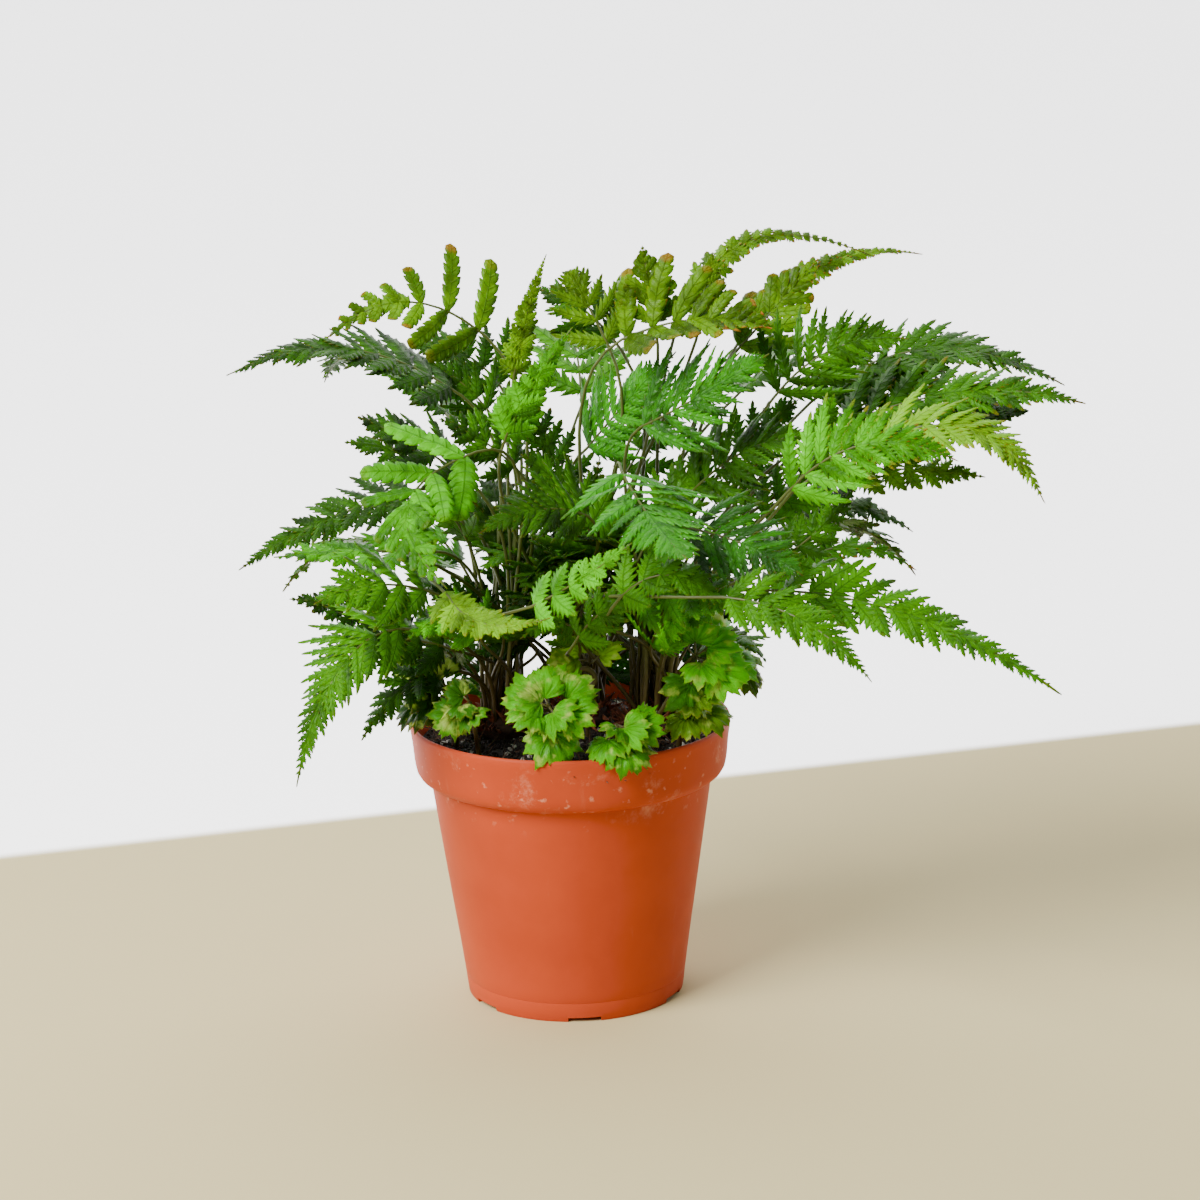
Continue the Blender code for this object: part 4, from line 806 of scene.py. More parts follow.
def mix(tree, factor, first, second, blend="MIX"):
    """A colour mixed from two colours."""
    node = tree.nodes.new("ShaderNodeMix")
    node.data_type = "RGBA"
    node.blend_type = blend
    for key, value in ((0, factor), (6, first), (7, second)):
        if isinstance(value, bpy.types.NodeSocket):
            tree.links.new(value, node.inputs[key])
        elif key:
            node.inputs[key].default_value = (*value, 1.0)
        else:
            node.inputs[key].default_value = value
    return node.outputs[2]


def bump(tree, shader, height, distance, strength):
    values = {"Height": height, "Distance": distance, "Strength": strength}
    tree.links.new(add_node(tree, "ShaderNodeBump", values).outputs[0], shader.inputs["Normal"])


def plastic_material(looks):
    """Terracotta-coloured plastic with a faint grain, dusty scuffs on the band and dull patches."""
    material, tree, shader, place = new_material("terracotta_plastic")
    height = split(tree, place)[2]
    cloud = noise(tree, place, 26.0)
    colour = mix(tree, ramp(tree, cloud, 0.35, 0.7), tuple(looks.plastic), tuple(looks.shade))
    stretched = vector_calc(tree, "MULTIPLY", place, (1.0, 1.0, 0.18))
    streak = noise(tree, stretched, 120.0, 6.0, 0.7)
    scuff_field = noise(tree, place, 55.0, 8.0, 0.72)
    on_band = calc(tree, "MULTIPLY", ramp(tree, height, *SCUFFS_BELOW), ramp(tree, height, *SCUFFS_ABOVE))
    scuff = calc(tree, "MULTIPLY", ramp(tree, scuff_field, 0.56, 0.78), on_band)
    fleck = calc(tree, "MULTIPLY", ramp(tree, noise(tree, place, 300.0, 3.0), 0.62, 0.74), on_band)
    dust = calc(tree, "MAXIMUM", calc(tree, "MULTIPLY", scuff, 0.55), calc(tree, "MULTIPLY", fleck, 0.4))
    wipe = calc(tree, "MULTIPLY", ramp(tree, streak, 0.6, 0.85), 0.10)
    colour = mix(tree, calc(tree, "MAXIMUM", dust, wipe), colour, tuple(looks.scuff))
    tree.links.new(colour, shader.inputs["Base Color"])
    dull = calc(tree, "MULTIPLY_ADD", cloud, 0.16, looks.roughness - 0.08)
    tree.links.new(calc(tree, "MULTIPLY_ADD", dust, 0.3, dull), shader.inputs["Roughness"])
    shader.inputs["Specular IOR Level"].default_value = PLASTIC_GLOSS
    bump(tree, shader, noise(tree, place, 900.0, 2.0), 0.03 * MM, 0.35)
    return material


def mix_material(looks):
    """Moist dark potting mix with lighter dry crumbs."""
    material, tree, shader, place = new_material("potting_mix")
    grain = noise(tree, place, 900.0, 6.0, 0.7)
    colour = mix(tree, ramp(tree, grain, 0.42, 0.72), tuple(looks.dark), tuple(looks.light))
    tree.links.new(colour, shader.inputs["Base Color"])
    tree.links.new(calc(tree, "MULTIPLY_ADD", grain, 0.5, 0.55), shader.inputs["Roughness"])
    bump(tree, shader, noise(tree, place, 2200.0, 5.0, 0.7), 0.4 * MM, 0.9)
    return material


def speckled_material(name, colour):
    """A rough material whose colour varies between itself and a darker one."""
    dark_share, scale, roughness = SPECKLES[name]
    material, tree, shader, place = new_material(name)
    grain = noise(tree, place, scale, 5.0, 0.65)
    dark = tuple(part * dark_share for part in colour)
    tree.links.new(mix(tree, ramp(tree, grain, 0.35, 0.68), dark, tuple(colour)), shader.inputs["Base Color"])
    shader.inputs["Roughness"].default_value = roughness
    bump(tree, shader, grain, 0.25 * MM, 0.7)
    return material


def stalk_material(looks):
    """Wiry stalk: brown near the crown and olive above, with fine lengthwise streaks."""
    material, tree, shader, place = new_material("fern_stalk")
    height = split(tree, place)[2]
    streak = noise(tree, vector_calc(tree, "MULTIPLY", place, (1.0, 1.0, 0.12)), 700.0, 4.0)
    level = calc(tree, "MULTIPLY_ADD", noise(tree, place, 40.0), 0.05, height)
    colour = mix(tree, ramp(tree, level, *STALKS_TURN), tuple(looks.stalk_root), tuple(looks.stalk))
    colour = mix(tree, calc(tree, "MULTIPLY", streak, 0.5), colour, tuple(looks.rib))
    tree.links.new(colour, shader.inputs["Base Color"])
    shader.inputs["Roughness"].default_value = 0.42
    bump(tree, shader, streak, 0.08 * MM, 0.5)
    return material


def leaf_material(name, colour, looks, blotches=0.0):
    """Blade with a sunk midrib, side veins to the lobes, uneven green, pale blotches and dried tips."""
    material, tree, shader, place = new_material("fern_leaf_" + name)
    at = split(tree, add_node(tree, "ShaderNodeAttribute", attribute_name="vein_at").outputs["Vector"])
    look = split(tree, add_node(tree, "ShaderNodeAttribute", attribute_name="look").outputs["Vector"])
    along, across = at[0], calc(tree, "ABSOLUTE", at[1])
    tone, dry, lobes = look
    light = tuple(min(1.0, part * LIGHT_SHARE) for part in colour)
    dark = tuple(part * DARK_SHARE for part in colour)
    patch = calc(tree, "MULTIPLY_ADD", noise(tree, place, 130.0), 0.8, calc(tree, "MULTIPLY", tone, 0.55))
    green = mix(tree, ramp(tree, patch, 0.35, 0.95), dark, light)
    slant = calc(tree, "SUBTRACT", calc(tree, "MULTIPLY", along, lobes), calc(tree, "MULTIPLY", across, 0.55))
    ridge = calc(tree, "ABSOLUTE", calc(tree, "SUBTRACT", calc(tree, "FRACT", slant), 0.5))
    vein = calc(tree, "MULTIPLY", ramp(tree, ridge, 0.12, 0.02), ramp(tree, across, 1.0, 0.5))
    twig = calc(tree, "FRACT", calc(tree, "MULTIPLY_ADD", ridge, 6.0, calc(tree, "MULTIPLY", across, 5.0)))
    twig = ramp(tree, calc(tree, "ABSOLUTE", calc(tree, "SUBTRACT", twig, 0.5)), 0.2, 0.04)
    midrib = ramp(tree, across, 0.075, 0.03)
    lined = calc(tree, "MAXIMUM", calc(tree, "MULTIPLY", vein, 0.32), calc(tree, "MULTIPLY", midrib, 0.5))
    green = mix(tree, lined, green, dark)
    if blotches:
        cloud = ramp(tree, noise(tree, place, 190.0, 3.0), 0.50, 0.68)
        green = mix(tree, calc(tree, "MULTIPLY", cloud, blotches), green, tuple(looks.blotch))
    edge = calc(tree, "MAXIMUM", ramp(tree, along, 0.72, 1.02), ramp(tree, across, 0.78, 1.1))
    spread = calc(tree, "MULTIPLY_ADD", noise(tree, place, 210.0), 1.1, -0.45)
    burnt = calc(tree, "MULTIPLY", ramp(tree, calc(tree, "ADD", edge, spread), 0.45, 0.9), dry, clamp=True)
    tree.links.new(mix(tree, burnt, green, tuple(looks.dry)), shader.inputs["Base Color"])
    rough = calc(tree, "MULTIPLY_ADD", noise(tree, place, 90.0), 0.22, 0.24)
    tree.links.new(calc(tree, "MULTIPLY_ADD", burnt, 0.3, rough), shader.inputs["Roughness"])
    shader.inputs["Specular IOR Level"].default_value = JADE_GLOSS if name == "jade" else LEAF_GLOSS
    for key, value in LEAF_SUBSURFACE.items():
        shader.inputs["Subsurface " + key].default_value = value
    relief = calc(tree, "ADD", calc(tree, "MULTIPLY", vein, -0.8), calc(tree, "MULTIPLY", twig, -0.22))
    bump(tree, shader, calc(tree, "MULTIPLY_ADD", midrib, -0.9, relief), 0.4 * MM, 0.8)
    return material


# Frond skeletons, as the solids have them


def sockets_of(centre):
    """Every place on a crown where a stalk can stand."""
    places = []
    for count, radius in SOCKET_RINGS:
        for i in range(count):
            angle = math.tau * (i + 0.5) / count
            places.append(centre + Vector((math.cos(angle), math.sin(angle), 0.0)) * radius)
    return places


def assign_roots():
    """Gives each frond, in the order of the list, the free socket of its crown that is nearest its knee."""
    free = [sockets_of(centre) for centre in CROWN_CENTRES]
    outer = SOCKET_RINGS[0][1]
    roots = {}
    for frond in FRONDS:
        centre = CROWN_CENTRES[frond.crown]
        towards = Vector((frond.knee[0], frond.knee[1], 0.0)) * MM - centre
        wish = centre + towards.normalized() * outer
        place = min(free[frond.crown], key=lambda spot: (spot - wish).length)
        free[frond.crown].remove(place)
        roots[frond.name] = Vector((place.x, place.y, SOCKET_HEIGHT))
    return roots


def inner_root(frond):
    """A place on the crown for a smaller frond that fills the plant."""
    angle = random.Random(frond.name).uniform(0.0, math.tau)
    spot = CROWN_CENTRES[frond.crown] + Vector((math.cos(angle), math.sin(angle), 0.0)) * INNER_ROOT_RADIUS
    return Vector((spot.x, spot.y, SOCKET_HEIGHT))


def on_parabola(start, middle, end, t):
    """Point and direction at t on the parabola that passes the middle point half way."""
    control = 2 * middle - (start + end) / 2
    point = start * (1 - t) ** 2 + control * 2 * t * (1 - t) + end * t * t
    direction = (control - start) * (1 - t) + (end - control) * t
    return point, direction.normalized()


class Lay:
    """Where one frond lies: its midrib, its stalk and the way its blade faces."""

    def __init__(self, frond, root, depth=0, swing=0, turn=0, bow=0):
        self.frond = frond
        self.root = root
        places = [Vector(place) * MM for place in (frond.knee, frond.middle, frond.tip)]
        shifts = (depth, depth + 0.5 * swing, depth + swing)
        self.knee, self.middle, self.tip = [
            place + (place - VIEWPOINT).normalized() * shift * DEPTH_STEP
            for place, shift in zip(places, shifts)
        ]
        chord = (self.tip - self.knee).normalized()
        self.face = Matrix.Rotation(turn * TURN_STEP, 3, chord) @ Vector(frond.face).normalized()
        self.bow = bow * BOW_STEP
        self.length = (self.middle - self.knee).length + (self.tip - self.middle).length

    def frame(self, s):
        """Point, direction, way to the right and upper side's normal at share s of the midrib."""
        point, along = on_parabola(self.knee, self.middle, self.tip, s)
        right = along.cross(self.face).normalized()
        return point, along, right, right.cross(along)

    def stalk(self, steps=STALK_STEPS):
        """Points of the stalk from its root up to a little past the knee."""
        base = self.root + UP * STALK_UPRIGHT
        _, along, _, _ = self.frame(0.0)
        top = self.knee + along * STALK_PAST_KNEE
        reach = (top - base).length
        rise = base + UP * reach * STALK_RISE
        arrive = top - along * reach * STALK_ARRIVE
        aside = (top - base).cross(UP).normalized()
        points = [self.root]
        for i in range(steps + 1):
            t = i / steps
            point = base * (1 - t) ** 3 + rise * 3 * t * (1 - t) ** 2
            point = point + arrive * 3 * t * t * (1 - t) + top * t ** 3
            points.append(point + aside * self.bow * math.sin(math.pi * t))
        return points


def pair_place(index, count):
    """Share of the midrib where pair number index stands, with the pairs closing up towards the tip."""
    share = (1 - PAIR_SHRINK ** index) / (1 - PAIR_SHRINK ** (count - 1))
    return FIRST_PAIR + (LAST_PAIR - FIRST_PAIR) * share


def pinna_reach(frond, s):
    """Length of a leaflet at share s of the midrib."""
    foot, gain = PINNA_SWELL
    swell = foot + gain * min(1.0, s / PINNA_SWELL_END)
    return frond.reach * MM * swell * (1 - s) ** PINNA_TAPER


Pinna = namedtuple("Pinna", "s side length angle sag half_width")


def pinna_pairs(lay):
    """Every pair of leaflets, varied a little by a draw that the frond's name fixes."""
    frond = lay.frond
    draw = random.Random(frond.name)
    count = frond.pairs + PAIRS_IN_TERMINAL
    pairs = []
    for i in range(count):
        s = pair_place(i, count)
        spacing = (pair_place(i + 1, count) - s if i + 1 < count else 1 - s) * lay.length
        pair = []
        for side in (1, -1):
            length = pinna_reach(frond, s) * draw.uniform(*PINNA_LENGTHS)
            angle = math.radians(frond.angle + draw.uniform(-PINNA_ANGLE_RANGE, PINNA_ANGLE_RANGE))
            sag = PINNA_SAG + draw.uniform(-PINNA_SAG_RANGE, PINNA_SAG_RANGE)
            half_width = min(PINNA_SPACING_SHARE * spacing * math.sin(angle), PINNA_LENGTH_SHARE * length)
            pair.append(Pinna(s, side, length, angle, sag, half_width))
        pairs.append(pair)
    return pairs


def pinna_axes(lay, pinna):
    """A leaflet's root, its way out, its bend, its way ahead and its upper side."""
    point, along, right, up = lay.frame(pinna.s)
    fold = math.radians(lay.frond.fold)
    away = right * pinna.side * math.cos(fold) + up * math.sin(fold)
    out = along * math.cos(pinna.angle) + away * math.sin(pinna.angle)
    forward = along * math.sin(pinna.angle) - away * math.cos(pinna.angle)
    bend = along * PINNA_BEND - up * pinna.sag
    return point, out, bend, forward * pinna.side, out.cross(forward * pinna.side)


def node_tree(name):
    """A search tree of a CAD node's points, from the pot's axis."""
    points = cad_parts[name].data.vertices
    tree = kdtree.KDTree(len(points))
    for i, vertex in enumerate(points):
        tree.insert(vertex.co - AXIS, i)
    tree.balance()
    return tree


def settled_lay(frond, root):
    """The lie that the solid has: of the lies that it may have, the one that meets the node's points best."""
    tree = node_tree("frond_" + frond.name)

    def miss(points):
        return sum(tree.find(point)[2] for point in points)

    def ends(lay):
        _, along, _, _ = lay.frame(0.0)
        return [lay.tip, lay.knee - along * RIB_ROOT_DEPTH]

    def tips(lay):
        pinnae = [pinna for pair in pinna_pairs(lay)[: frond.pairs] for pinna in pair]
        axes = [pinna_axes(lay, pinna) for pinna in pinnae]
        return [point + (out + bend) * pinna.length for pinna, (point, out, bend, _, _) in zip(pinnae, axes)]

    lies = [(depth, swing) for depth in DEPTHS for swing in SWINGS]
    depth, swing = min(lies, key=lambda lie: miss(ends(Lay(frond, root, *lie))))
    turn = min(TURNS, key=lambda turn: miss(tips(Lay(frond, root, depth, swing, turn))))
    bow = min(BOWS, key=lambda bow: miss(Lay(frond, root, depth, swing, turn, bow).stalk()[2:4]))
    return Lay(frond, root, depth, swing, turn, bow)


# Leaflets


def leaflet_outline(shape, u):
    """Half width of a leaflet at share u of its length, before its edge is cut into lobes."""
    rise = min(1.0, u / LEAFLET_FULL)
    width = shape.base + (1.0 - shape.base) * rise * (2.0 - rise)
    past = max(0.0, (u - shape.shoulder) / (1.0 - shape.shoulder))
    return width * (1.0 - past ** shape.blunt) ** (1.0 / shape.blunt if shape.blunt > 2 else 1.0)


def leaflet_edge(shape):
    """Edge of one side of a leaflet, as (share of its length, share of its half width, place in its lobe)."""
    edge = [(0.0, LEAFLET_FOOT * shape.base, 0.0)]
    for lobe in range(shape.lobes):
        for t, share in shape.teeth:
            u = LOBES_START + LOBES_LENGTH * (lobe + t) / shape.lobes
            edge.append((u, share * leaflet_outline(shape, u), t))
    edge.append((*LEAFLET_TIP, 0.0))
    return edge


def skin_solid(name, rows, veins, loops):
    """A closed leaf solid from rows of (x, y, relief) points, each row the same length.

    Its points carry leaf_at, their place on the leaf, vein_at, their place in the pattern of veins, and
    skin, which is 1 above and -1 below.
    """
    width = len(rows[0])
    top = [point for row in rows for point in row]
    spots = [spot for row in veins for spot in row]
    count = len(top)
    faces = []
    for i in range(len(rows) - 1):
        for j in range(width - 1):
            a, b, c, d = i * width + j, (i + 1) * width + j, (i + 1) * width + j + 1, i * width + j + 1
            faces.append((a, b, c, d))
            faces.append((d + count, c + count, b + count, a + count))
    for a, b in zip(loops, loops[1:] + loops[:1]):
        faces.append((a, a + count, b + count, b))
    mesh = plain_points(name, top + top, faces)
    store(mesh, "leaf_at", top + top)
    store(mesh, "vein_at", spots + spots)
    skin = mesh.attributes.new("skin", "FLOAT", "POINT")
    skin.data.foreach_set("value", [1.0] * count + [-1.0] * count)
    set_outward(mesh)
    return mesh


def border(rows, width):
    """Indices round the rim of a grid of points."""
    last = rows - 1
    loop = [i * width for i in range(rows)]
    loop += [last * width + j for j in range(1, width)]
    loop += [i * width + width - 1 for i in range(last - 1, -1, -1)]
    loop += [j for j in range(width - 2, 0, -1)]
    return loop


def leaflet_mesh(shape):
    """A toothed, lobed leaflet of unit length and half width, a little quilted between its side veins."""
    rows, veins = [], []
    for u, width, t in leaflet_edge(shape):
        puff = LEAFLET_PUFF * math.sin(math.pi * t) * width
        row, spots = [], []
        for across, relief in shape.across:
            lift = relief * width + (puff if 0.0 < abs(across) < 1.0 else 0.0)
            lean = LOBE_LEAN / shape.lobes * (across * width) ** 2
            row.append((min(1.0, u + lean), width * across, lift))
            spots.append((u, width * across, 0.0))
        rows.append(row)
        veins.append(spots)
    return skin_solid("leaflet", rows, veins, border(len(rows), len(shape.across)))


def fan_mesh(lobes, spread, seed):
    """A crinkled fan-shaped leaf with toothed lobes, about its foot, of unit radius."""
    draw = random.Random(seed)
    rows, veins = [], []
    count = lobes * len(FAN_TEETH)
    for i in range(count + 1):
        lobe, step = divmod(i, len(FAN_TEETH))
        t, share = FAN_TEETH[step]
        angle = math.radians(spread) * ((lobe + t) / lobes - 0.5) * 2.0
        side = 1.0 - FAN_SIDE_LOSS * abs(angle / math.radians(spread)) ** 2
        reach = share * side * draw.uniform(*FAN_REACHES)
        pleat = FAN_PLEAT * math.cos(math.tau * t)
        row, spots = [], []
        for part, relief in FAN_OUTWARDS:
            cup = LEAF_CUP * math.cos(angle * 2.0) * part * part
            row.append((FAN_FOOT + reach * part * math.cos(angle), reach * part * math.sin(angle),
                        relief + (pleat + cup) * part))
            spots.append((FAN_VEIN_REACH * i / count, part, 0.0))
        rows.append(row)
        veins.append(spots)
    return skin_solid("fan", rows, veins, border(len(rows), len(FAN_OUTWARDS)))


def leaf_shapes():
    """The collection of leaf shapes that the tree picks from; the order of names is the order of kinds."""
    meshes = [leaflet_mesh(shape) for shape in LEAF_SHAPES]
    return shape_collection("leaf_shape", meshes + [fan_mesh(*fan) for fan in FANS])


FAN_KINDS = (len(LEAF_SHAPES), len(LEAF_SHAPES) + 1)
LEAF_FIELDS = ("out", "bend", "ahead", "upper", "size", "look")


def leaf_tree():
    """Sets a leaf shape on every point and bends it to the point's own axes, with ripples."""
    tree, give, result = geometry_tree("leaves_on_points", ("Thickness", "Ripple", "Ripple size"))
    root = add_node(tree, "GeometryNodeStoreNamedAttribute",
                    {"Geometry": give["Geometry"], "Name": "root"}, data_type="FLOAT_VECTOR")
    tree.links.new(tree.nodes.new("GeometryNodeInputPosition").outputs[0], root.inputs["Value"])
    real = real_copies(tree, give, {"Points": root.outputs[0], "Instance Index": named(tree, "kind", "INT")})
    along, across, relief = split(tree, named(tree, "leaf_at"))
    length, half_width, _ = split(tree, named(tree, "size"))
    reach = calc(tree, "MULTIPLY", along, length)
    terms = (
        ("out", reach),
        ("bend", calc(tree, "MULTIPLY", reach, along)),
        ("ahead", calc(tree, "MULTIPLY", across, half_width)),
    )
    place = named(tree, "root")
    for name, factor in terms:
        place = vector_calc(tree, "ADD", place, vector_calc(tree, "SCALE", named(tree, name), factor))
    wave = add_node(
        tree, "ShaderNodeTexNoise",
        {"Vector": place, "Scale": calc(tree, "DIVIDE", 1.0, give["Ripple size"]), "Detail": 1.0},
    )
    wave = calc(tree, "MULTIPLY", calc(tree, "SUBTRACT", wave.outputs[0], 0.5), give["Ripple"])
    wave = calc(tree, "MULTIPLY", wave, calc(tree, "MINIMUM", calc(tree, "MULTIPLY", along, 2.0), 1.0))
    half = calc(tree, "MULTIPLY", named(tree, "skin", "FLOAT"), 0.5)
    half = calc(tree, "MULTIPLY", half, give["Thickness"])
    rise = calc(tree, "ADD", calc(tree, "MULTIPLY_ADD", relief, half_width, wave), half)
    place = vector_calc(tree, "ADD", place, vector_calc(tree, "SCALE", named(tree, "upper"), rise))
    moved = add_node(tree, "GeometryNodeSetPosition", {"Geometry": real, "Position": place})
    return ended(tree, give, result, moved.outputs[0])


class LeafPoints:
    """Points that leaves are set on, each with its axes, size and look."""

    def __init__(self):
        self.places = []
        self.kinds = []
        self.fields = {name: [] for name in LEAF_FIELDS}

    def add(self, place, kind, **fields):
        self.places.append(place)
        self.kinds.append(kind)
        for name in LEAF_FIELDS:
            self.fields[name].append(fields[name])

    def mesh(self, kit, material):
        """The leaves as one plain mesh."""
        mesh = plain_points("leaf_points", self.places)
        mesh.attributes.new("kind", "INT", "POINT").data.foreach_set("value", self.kinds)
        for name, values in self.fields.items():
            store(mesh, name, values)
        looks = kit.looks
        values = {"Shapes": kit.shapes, "Thickness": looks.thickness, "Ripple": looks.ripple,
                  "Ripple size": looks.ripple_size, "Material": material}
        leaves = apply_tree(link_mesh("leaf_points", mesh), kit.tree, values)
        for name in ("kind", "root", "skin", "leaf_at", "out", "bend", "ahead", "upper", "size"):
            if name in leaves.attributes:
                leaves.attributes.remove(leaves.attributes[name])
        return leaves


LeafKit = namedtuple("LeafKit", "looks shapes tree greens young stalk")


def make_kit(looks):
    """Everything that fronds and young plants are made with."""
    greens = {
        name: leaf_material(name, tuple(getattr(looks, name)), looks)
        for name in ("pale", "lime", "mid", "jade", "deep", "olive")
    }
    young = {
        name: leaf_material("young_" + name, tuple(getattr(looks, name)), looks, YOUNG_BLOTCHES)
        for name in ("pale", "lime", "mid", "olive")
    }
    return LeafKit(looks, leaf_shapes(), leaf_tree(), greens, young, stalk_material(looks))


def kind_of(length, name):
    """The leaflet shape for a length on the named frond, with its number of lobes."""
    kind = next(i for i, least in enumerate(LEAST_LENGTHS) if length >= least * MM)
    if name.startswith(UNDERGROWTH):
        kind = SMALL_KIND
    elif name in BLUNT_FRONDS:
        kind += BLUNT_KINDS
    return kind, LEAF_SHAPES[kind].lobes


def between(first, second):
    """A leaflet half way between two neighbours on one side."""
    return Pinna(*[(a + b) / 2 for a, b in zip(first, second)])


def fine_pinnae(lay):
    """The leaflets that are drawn: the solid's, and on a close-set frond one more between each two."""
    pairs = pinna_pairs(lay)
    pinnae = [pinna for pair in pairs for pinna in pair]
    if lay.frond.reach <= NARROW_REACH or lay.frond.name in CLOSE_FRONDS:
        for side in (0, 1):
            pinnae += [between(low[side], high[side]) for low, high in zip(pairs, pairs[1:])]
    return pinnae


def add_strap(lay, points, tone, dryness):
    """Adds the toothed blade that joins the leaflets along the end of the midrib."""
    frond = lay.frond
    narrow = frond.reach <= NARROW_REACH
    start = 0.0 if narrow else STRAP_START
    control = 2 * lay.middle - (lay.knee + lay.tip) / 2
    place, along, _, up = lay.frame(start)
    slope = ((control - lay.knee) * (1 - start) + (lay.tip - control) * start) * 2 * (1 - start)
    bow = (lay.knee - 2 * control + lay.tip) * (1 - start) ** 2
    half_width = (NARROW_STRAP_WIDTH if narrow else STRAP_WIDTH) * frond.reach * MM
    points.add(place, STRAP_KIND, out=slope, bend=bow, ahead=up.cross(along), upper=up,
               size=(1.0, half_width, 0.0),
               look=(tone, dryness * STRAP_DRYNESS, LEAF_SHAPES[STRAP_KIND].lobes))


def add_leaflets(lay, points):
    """Adds every leaflet of a frond, and the blade that joins them at its end."""
    frond = lay.frond
    draw = random.Random(frond.name + "_fine")
    dryness = DRYNESS.get(frond.name, USUAL_DRYNESS)
    tone = draw.uniform(*FROND_TONES)
    usual = CLOSE_OVERLAP if frond.name in CLOSE_FRONDS else LEAFLET_OVERLAP
    if frond.reach <= NARROW_REACH:
        usual = NARROW_OVERLAP
    overlap = OVERLAPS.get(frond.name, usual)
    for pinna in fine_pinnae(lay):
        angle = pinna.angle * (1.0 - CLOSING_ANGLE * pinna.s) + draw.uniform(-1.0, 1.0) * LEAFLET_WANDER
        sag = pinna.sag + draw.uniform(-1.0, 1.0) * LEAFLET_CURL
        length = pinna.length * draw.uniform(*LEAFLET_LENGTHS)
        if pinna.s > SHORTER_PAST:
            length *= SHORTER.get(frond.name, 1.0)
        shown = pinna._replace(angle=angle, sag=sag, length=length)
        place, out, bend, ahead, upper = pinna_axes(lay, shown)
        turn = pinna.side * LEAFLET_SHINGLE + draw.uniform(-1.0, 1.0) * LEAFLET_TWIST
        twist = Matrix.Rotation(turn, 3, out)
        kind, lobes = kind_of(pinna.length, frond.name)
        own_tone = tone + draw.uniform(-TONE_RANGE, TONE_RANGE)
        look = (own_tone, dryness * (0.5 + pinna.s) * draw.uniform(*DRY_SHARES), lobes)
        half_width = min(pinna.half_width * overlap, LEAFLET_WIDEST * pinna.length)
        points.add(place, kind, out=out, bend=bend, ahead=twist @ ahead, upper=twist @ upper,
                   size=(shown.length, half_width, 0.0), look=look)
    add_strap(lay, points, tone, dryness)


def frond_stalk(lay):
    """Points and radii of the whole stalk and midrib, from the crown to the tip."""
    low, knee, tip = STALK_RADII
    stalk = lay.stalk(STALK_POINTS)
    radii = [low + (knee - low) * i / (len(stalk) - 1) for i in range(len(stalk))]
    for i in range(1, RIB_POINTS + 1):
        s = RIB_START + RIB_LENGTH * i / RIB_POINTS
        point, _, _, up = lay.frame(s)
        stalk.append(point - up * RIB_DEPTH * MM)
        radii.append(knee + (tip - knee) * s)
    return stalk, radii


def undergrowth():
    """Short fronds low in the plant, each with the name of the frond that it is made with."""
    draw = random.Random(UNDERGROWTH)
    inner = []
    for i in range(UNDERGROWTH_COUNT):
        crown = i % len(CROWN_CENTRES)
        hosts = [frond.name for frond in FRONDS if frond.crown == crown]
        angle = UNDERGROWTH_TURN * i + draw.uniform(-UNDERGROWTH_SWING, UNDERGROWTH_SWING)
        way = Vector((math.cos(angle), math.sin(angle), 0.0))
        low = draw.uniform(*UNDERGROWTH_HEIGHTS)
        knee = CROWN_CENTRES[crown] / MM + way * draw.uniform(*UNDERGROWTH_DISTANCES) + UP * low
        middle = knee + way * draw.uniform(*UNDERGROWTH_STEPS) + UP * draw.uniform(*UNDERGROWTH_RISES)
        tip = middle + way * draw.uniform(*UNDERGROWTH_STEPS) + UP * draw.uniform(*UNDERGROWTH_NODS)
        face = way * UNDERGROWTH_LEAN + UP * draw.uniform(*UNDERGROWTH_FACES)
        colour = draw.choice(UNDERGROWTH_COLOURS)
        reach = draw.uniform(*UNDERGROWTH_REACHES)
        name = f"{UNDERGROWTH}_{i}"
        frond = Frond(name, crown, knee, middle, tip, reach, face, UNDERGROWTH_PAIRS, colour)
        inner.append((hosts[i // len(CROWN_CENTRES) % len(hosts)], frond))
    return inner


def make_frond(frond, roots, inner_fronds, kit):
    """One frond, with the smaller ones that grow in among its stalks."""
    parts = []
    lays = [settled_lay(frond, roots[frond.name])]
    lays += [Lay(inner, inner_root(inner)) for host, inner in inner_fronds if host == frond.name]
    for lay in lays:
        points = LeafPoints()
        add_leaflets(lay, points)
        parts.append(points.mesh(kit, kit.greens[lay.frond.colour]))
        parts.append(tube_mesh(*frond_stalk(lay), kit.stalk))
    piece = joined("fine_frond_" + frond.name, parts)
    return finish_piece(piece, ["frond_" + frond.name])


def add_fan_leaf(points, rods, hub, out, face, stalk, radius, kind, tone):
    """Adds one fan-shaped leaf and its thin stalk."""
    foot = hub + out * stalk
    sag = face * PETIOLE_SAG * stalk
    rods.append(([hub, hub + out * stalk * 0.5 + sag, foot + out * PETIOLE_PAST * radius], PETIOLE_RADII))
    points.add(foot, kind, out=out, bend=face * -LEAF_DROOP, ahead=face.cross(out), upper=face,
               size=(radius, radius, 0.0), look=(tone, USUAL_DRYNESS, FAN_VEINS))


